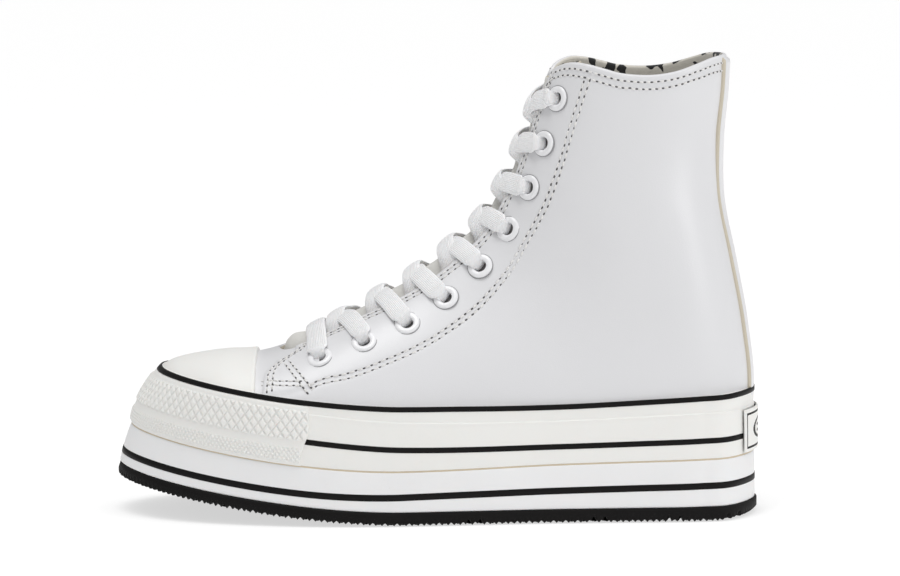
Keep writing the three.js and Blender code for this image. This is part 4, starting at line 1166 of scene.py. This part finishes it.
bumper.grid(np.concatenate([bump_grid, back[:, few]], 1), loop_columns=True)
for row in (0, -1):
    bumper.grid(np.stack([bump_grid[row], back[row]]))
bumper.build("toe_bumper_skin", "white_rubber", ["toe_bumper"], [M["rubber"]])

# %% [markdown]
# ## Platform and outsole
# The platform is one foam block. The outsole under it has saw teeth all round: a triangle wave
# of the distance lifts the bottom edge, wider near the toe, and four pairs of cuts cross it.

# %% platform
platform = Shell()
profile = profile_of(("tread", 0.15, -8), ("tread", 0.1, -0.5), ("tread", 0.35, -0.08), ("tread", 0.8, 0))
profile += [(between(above("tread", 0.8), above("seam", -0.7), t), 0.0) for t in np.linspace(0.1, 1, 10)]
profile += profile_of(("seam", -0.3, -0.1), ("seam", -0.1, -0.45), ("seam", -0.1, -8))
platform.grid(round_sole(stations, profile), loop_rows=True, loop_columns=True)
platform.build("platform_block", "white_rubber", ["platform"], [M["foam"]])

# %% outsole with saw teeth
outsole = Shell()
fine = np.arange(0, ROUND, ROUND / 2400)
angle = angle_at(fine)
edge_x = sole_edge(angle)[:, 0]
count = round(ROUND / 2.55)
phase = (fine * count / ROUND) % 1
tooth = (1.25 + 0.9 * ease((edge_x - 60) / 50)) * (1 - np.abs(phase - 0.5) * 2) ** 0.8
GROOVES = (-124.8, -99.6, -68, -15.6)
deep = np.zeros(len(fine))
for centre in GROOVES:
    for offset in (-2.4, 2.4):
        deep = np.maximum(deep, 2.6 * np.exp(-(((edge_x - centre - offset) / 0.9) ** 4)))
cut = np.maximum(tooth, deep)
toe = toe_share(edge_x)
lift = heel_bevel(edge_x)
rows = [(0.0 * cut + 1.4 + lift, -7.0), (cut * 0.9 + lift, -3.0), (cut + lift, -1.5 - 0 * toe),
        (cut + 0.4 + lift, -1.0),
        (np.maximum(cut, 1.2) + 0.3 + lift, -0.9 * toe), (level["tread"](edge_x) * 0.6, -1.2 * toe),
        (level["tread"](edge_x) - 0.4, -1.8 * toe), (level["tread"](edge_x) - 0.05, -1.9 * toe - 0.3),
        (level["tread"](edge_x), -1.9 * toe - 0.9), (level["tread"](edge_x), -8.0)]
edge = sole_edge(angle)
inwards = sole_inside(angle)
ring = []
for z, out in rows:
    plan = edge - inwards * (np.zeros(len(edge)) + out)[:, None]
    ring.append(np.concatenate([plan, (z + spring(plan[:, 0]))[:, None]], 1))
outsole.grid(np.stack(ring, 1), loop_rows=True, loop_columns=True)
xs = np.linspace(-129, 130, 820)
near = angle_at(np.linspace(0, ROUND, 3000))
line = sole_edge(near) + sole_inside(near) * 5.0
upper_half = line[:1500][np.argsort(line[:1500, 0])]
lower_half = line[1500:][np.argsort(line[1500:, 0])]
y1, y0 = np.interp(xs, upper_half[:, 0], upper_half[:, 1]), np.interp(xs, lower_half[:, 0], lower_half[:, 1])
w = np.linspace(0, 1, 40)
ys = mix(y0[:, None], y1[:, None], w[None])
herring = ridge(xs[:, None] / 5.1 + np.abs((ys + 60) % 20 - 10) / 9.0)
zs = spring(xs)[:, None] + heel_bevel(xs)[:, None] + 1.3 * ease(herring * 2.2 - 0.6)
bottom_grid = np.stack([xs[:, None] + 0 * ys, ys, zs], -1)
outsole.grid(bottom_grid, flip=True)
outsole.build("toothed_outsole", "tread", ["outsole"], [M["tread"]])

# %% [markdown]
# ## Heel badge
# A small moulded badge with a border and a plain oval. The marks are faces of a second
# material, picked by formulas of the distance to the rim and to the middle.

# %% heel badge
badge = Shell()
start = distance_of(PATCH_X)
d = np.linspace(start, ROUND - start, 120)
v = np.linspace(0, 1, 60)
angle = angle_at(d)
x = sole_edge(angle)[:, 0]
low, high = level["seam"](x) + 0.8, level["ledge"](x) - 0.4
a_mm = (d - ROUND / 2)[:, None]
b_mm = (v[None] - 0.5) * (high - low)[:, None]
tall, wide = (high - low).mean(), d[-1] - d[0]
rim = np.minimum(wide / 2 - np.abs(a_mm), tall / 2 - np.abs(b_mm))
out = 1.6 * np.clip(rim / 0.5 + 0.35, 0, 1) ** 0.5 + 0.0
front = wall_point(angle[:, None] + 0 * v[None], low[:, None] + (high - low)[:, None] * v[None], out)
mid = lambda g: (g[1:, 1:] + g[:-1, :-1]) / 2
r, am, bm = mid(rim), mid(a_mm + 0 * b_mm), mid(b_mm + 0 * a_mm)
border = (r > 1.5) & (r < 2.5)
lens = (am / (wide * 0.30)) ** 2 + (bm / (tall * 0.26)) ** 2
motif = (np.abs(lens - 0.85) < 0.2) | ((np.abs(am) < wide * 0.17) & (np.abs(np.abs(bm) - 1.2) < 0.55))
badge.grid(front, mark=np.where(border | motif, 1, 0))
badge.build("heel_badge", "badge", ["heel_patch"], [M["rubber"], M["black"]])

# %% [markdown]
# ## Floor, light and camera
# The floor is a white light table: a plain sheet that also glows a little, so the shadow under
# the toe stays soft. The world is brighter above and towards the heel, and a soft lamp on the
# heel's side draws a highlight down the quarter. White leather needs the Standard view: the
# filmic ones press all whites into one grey. The camera stands more than two metres away, a
# little above the middle of the shoe, so that both sides of the sole almost coincide.

# %% floor
bpy.ops.mesh.primitive_plane_add(size=40)
floor = bpy.context.object
floor.name = "floor"
paper = bpy.data.materials.new("white_paper")
paper.use_nodes = True
table = paper.node_tree.nodes["Principled BSDF"].inputs
table["Base Color"].default_value = (0.45, 0.45, 0.45, 1)
table["Roughness"].default_value = 0.9
table["Specular IOR Level"].default_value = 0.0
table["Emission Color"].default_value = (1, 1, 1, 1)
table["Emission Strength"].default_value = 0.62
floor.data.materials.append(paper)

# %% lamps and world
def lamp(name, place, aim, size, power):
    """An area lamp aimed at a point."""
    light = bpy.data.lights.new(name, "AREA")
    light.size, light.energy = size, power
    holder = bpy.data.objects.new(name, light)
    bpy.context.scene.collection.objects.link(holder)
    holder.location = place
    holder.rotation_euler = (Vector(aim) - Vector(place)).to_track_quat("-Z", "Y").to_euler()
    return holder


lamp("key_top", (0.25, 0.35, 1.6), (0, 0, 0.05), 0.6, 4.5)
lamp("heel_side", (-1.2, 0.8, 0.5), (-0.06, 0, 0.12), 0.4, 3.2)
sun = bpy.data.lights.new("soft_sky", "SUN")
sun.energy, sun.angle = 0.7, math.radians(40)
sky = bpy.data.objects.new("soft_sky", sun)
bpy.context.scene.collection.objects.link(sky)
sky.rotation_euler = (math.radians(-12), math.radians(10), 0)
world = bpy.data.worlds.new("bright_room")
world.use_nodes = True
room = Tree(world.node_tree)
towards = room.add("ShaderNodeTexCoord").outputs["Generated"]
facing = room.add("ShaderNodeSeparateXYZ", None, Vector=towards).outputs
glow = room.math("SUBTRACT", room.math("MULTIPLY", room.math("MAXIMUM", facing[2], 0.0), 0.5),
                 room.math("MULTIPLY", facing[0], 0.2))
glow = room.math("ADD", glow, 0.28)
world.node_tree.links.new(glow, world.node_tree.nodes["Background"].inputs["Strength"])
world.node_tree.nodes["Background"].inputs["Color"].default_value = (1, 1, 1, 1)
bpy.context.scene.world = world
bpy.context.scene.view_settings.view_transform = "Standard"

# %% camera
TARGET = np.array([-0.0051, 0.0, 0.095])
DISTANCE, ELEVATION = 2.214, 6.4
lens = bpy.data.cameras.new("shoe_camera")
lens.lens = 208.4
camera = bpy.data.objects.new("shoe_camera", lens)
bpy.context.scene.collection.objects.link(camera)
raised_angle = math.radians(ELEVATION)
camera.location = TARGET + DISTANCE * np.array([0, math.cos(raised_angle), math.sin(raised_angle)])
camera.rotation_euler = (math.radians(90 - ELEVATION), 0, math.pi)
bpy.context.scene.camera = camera
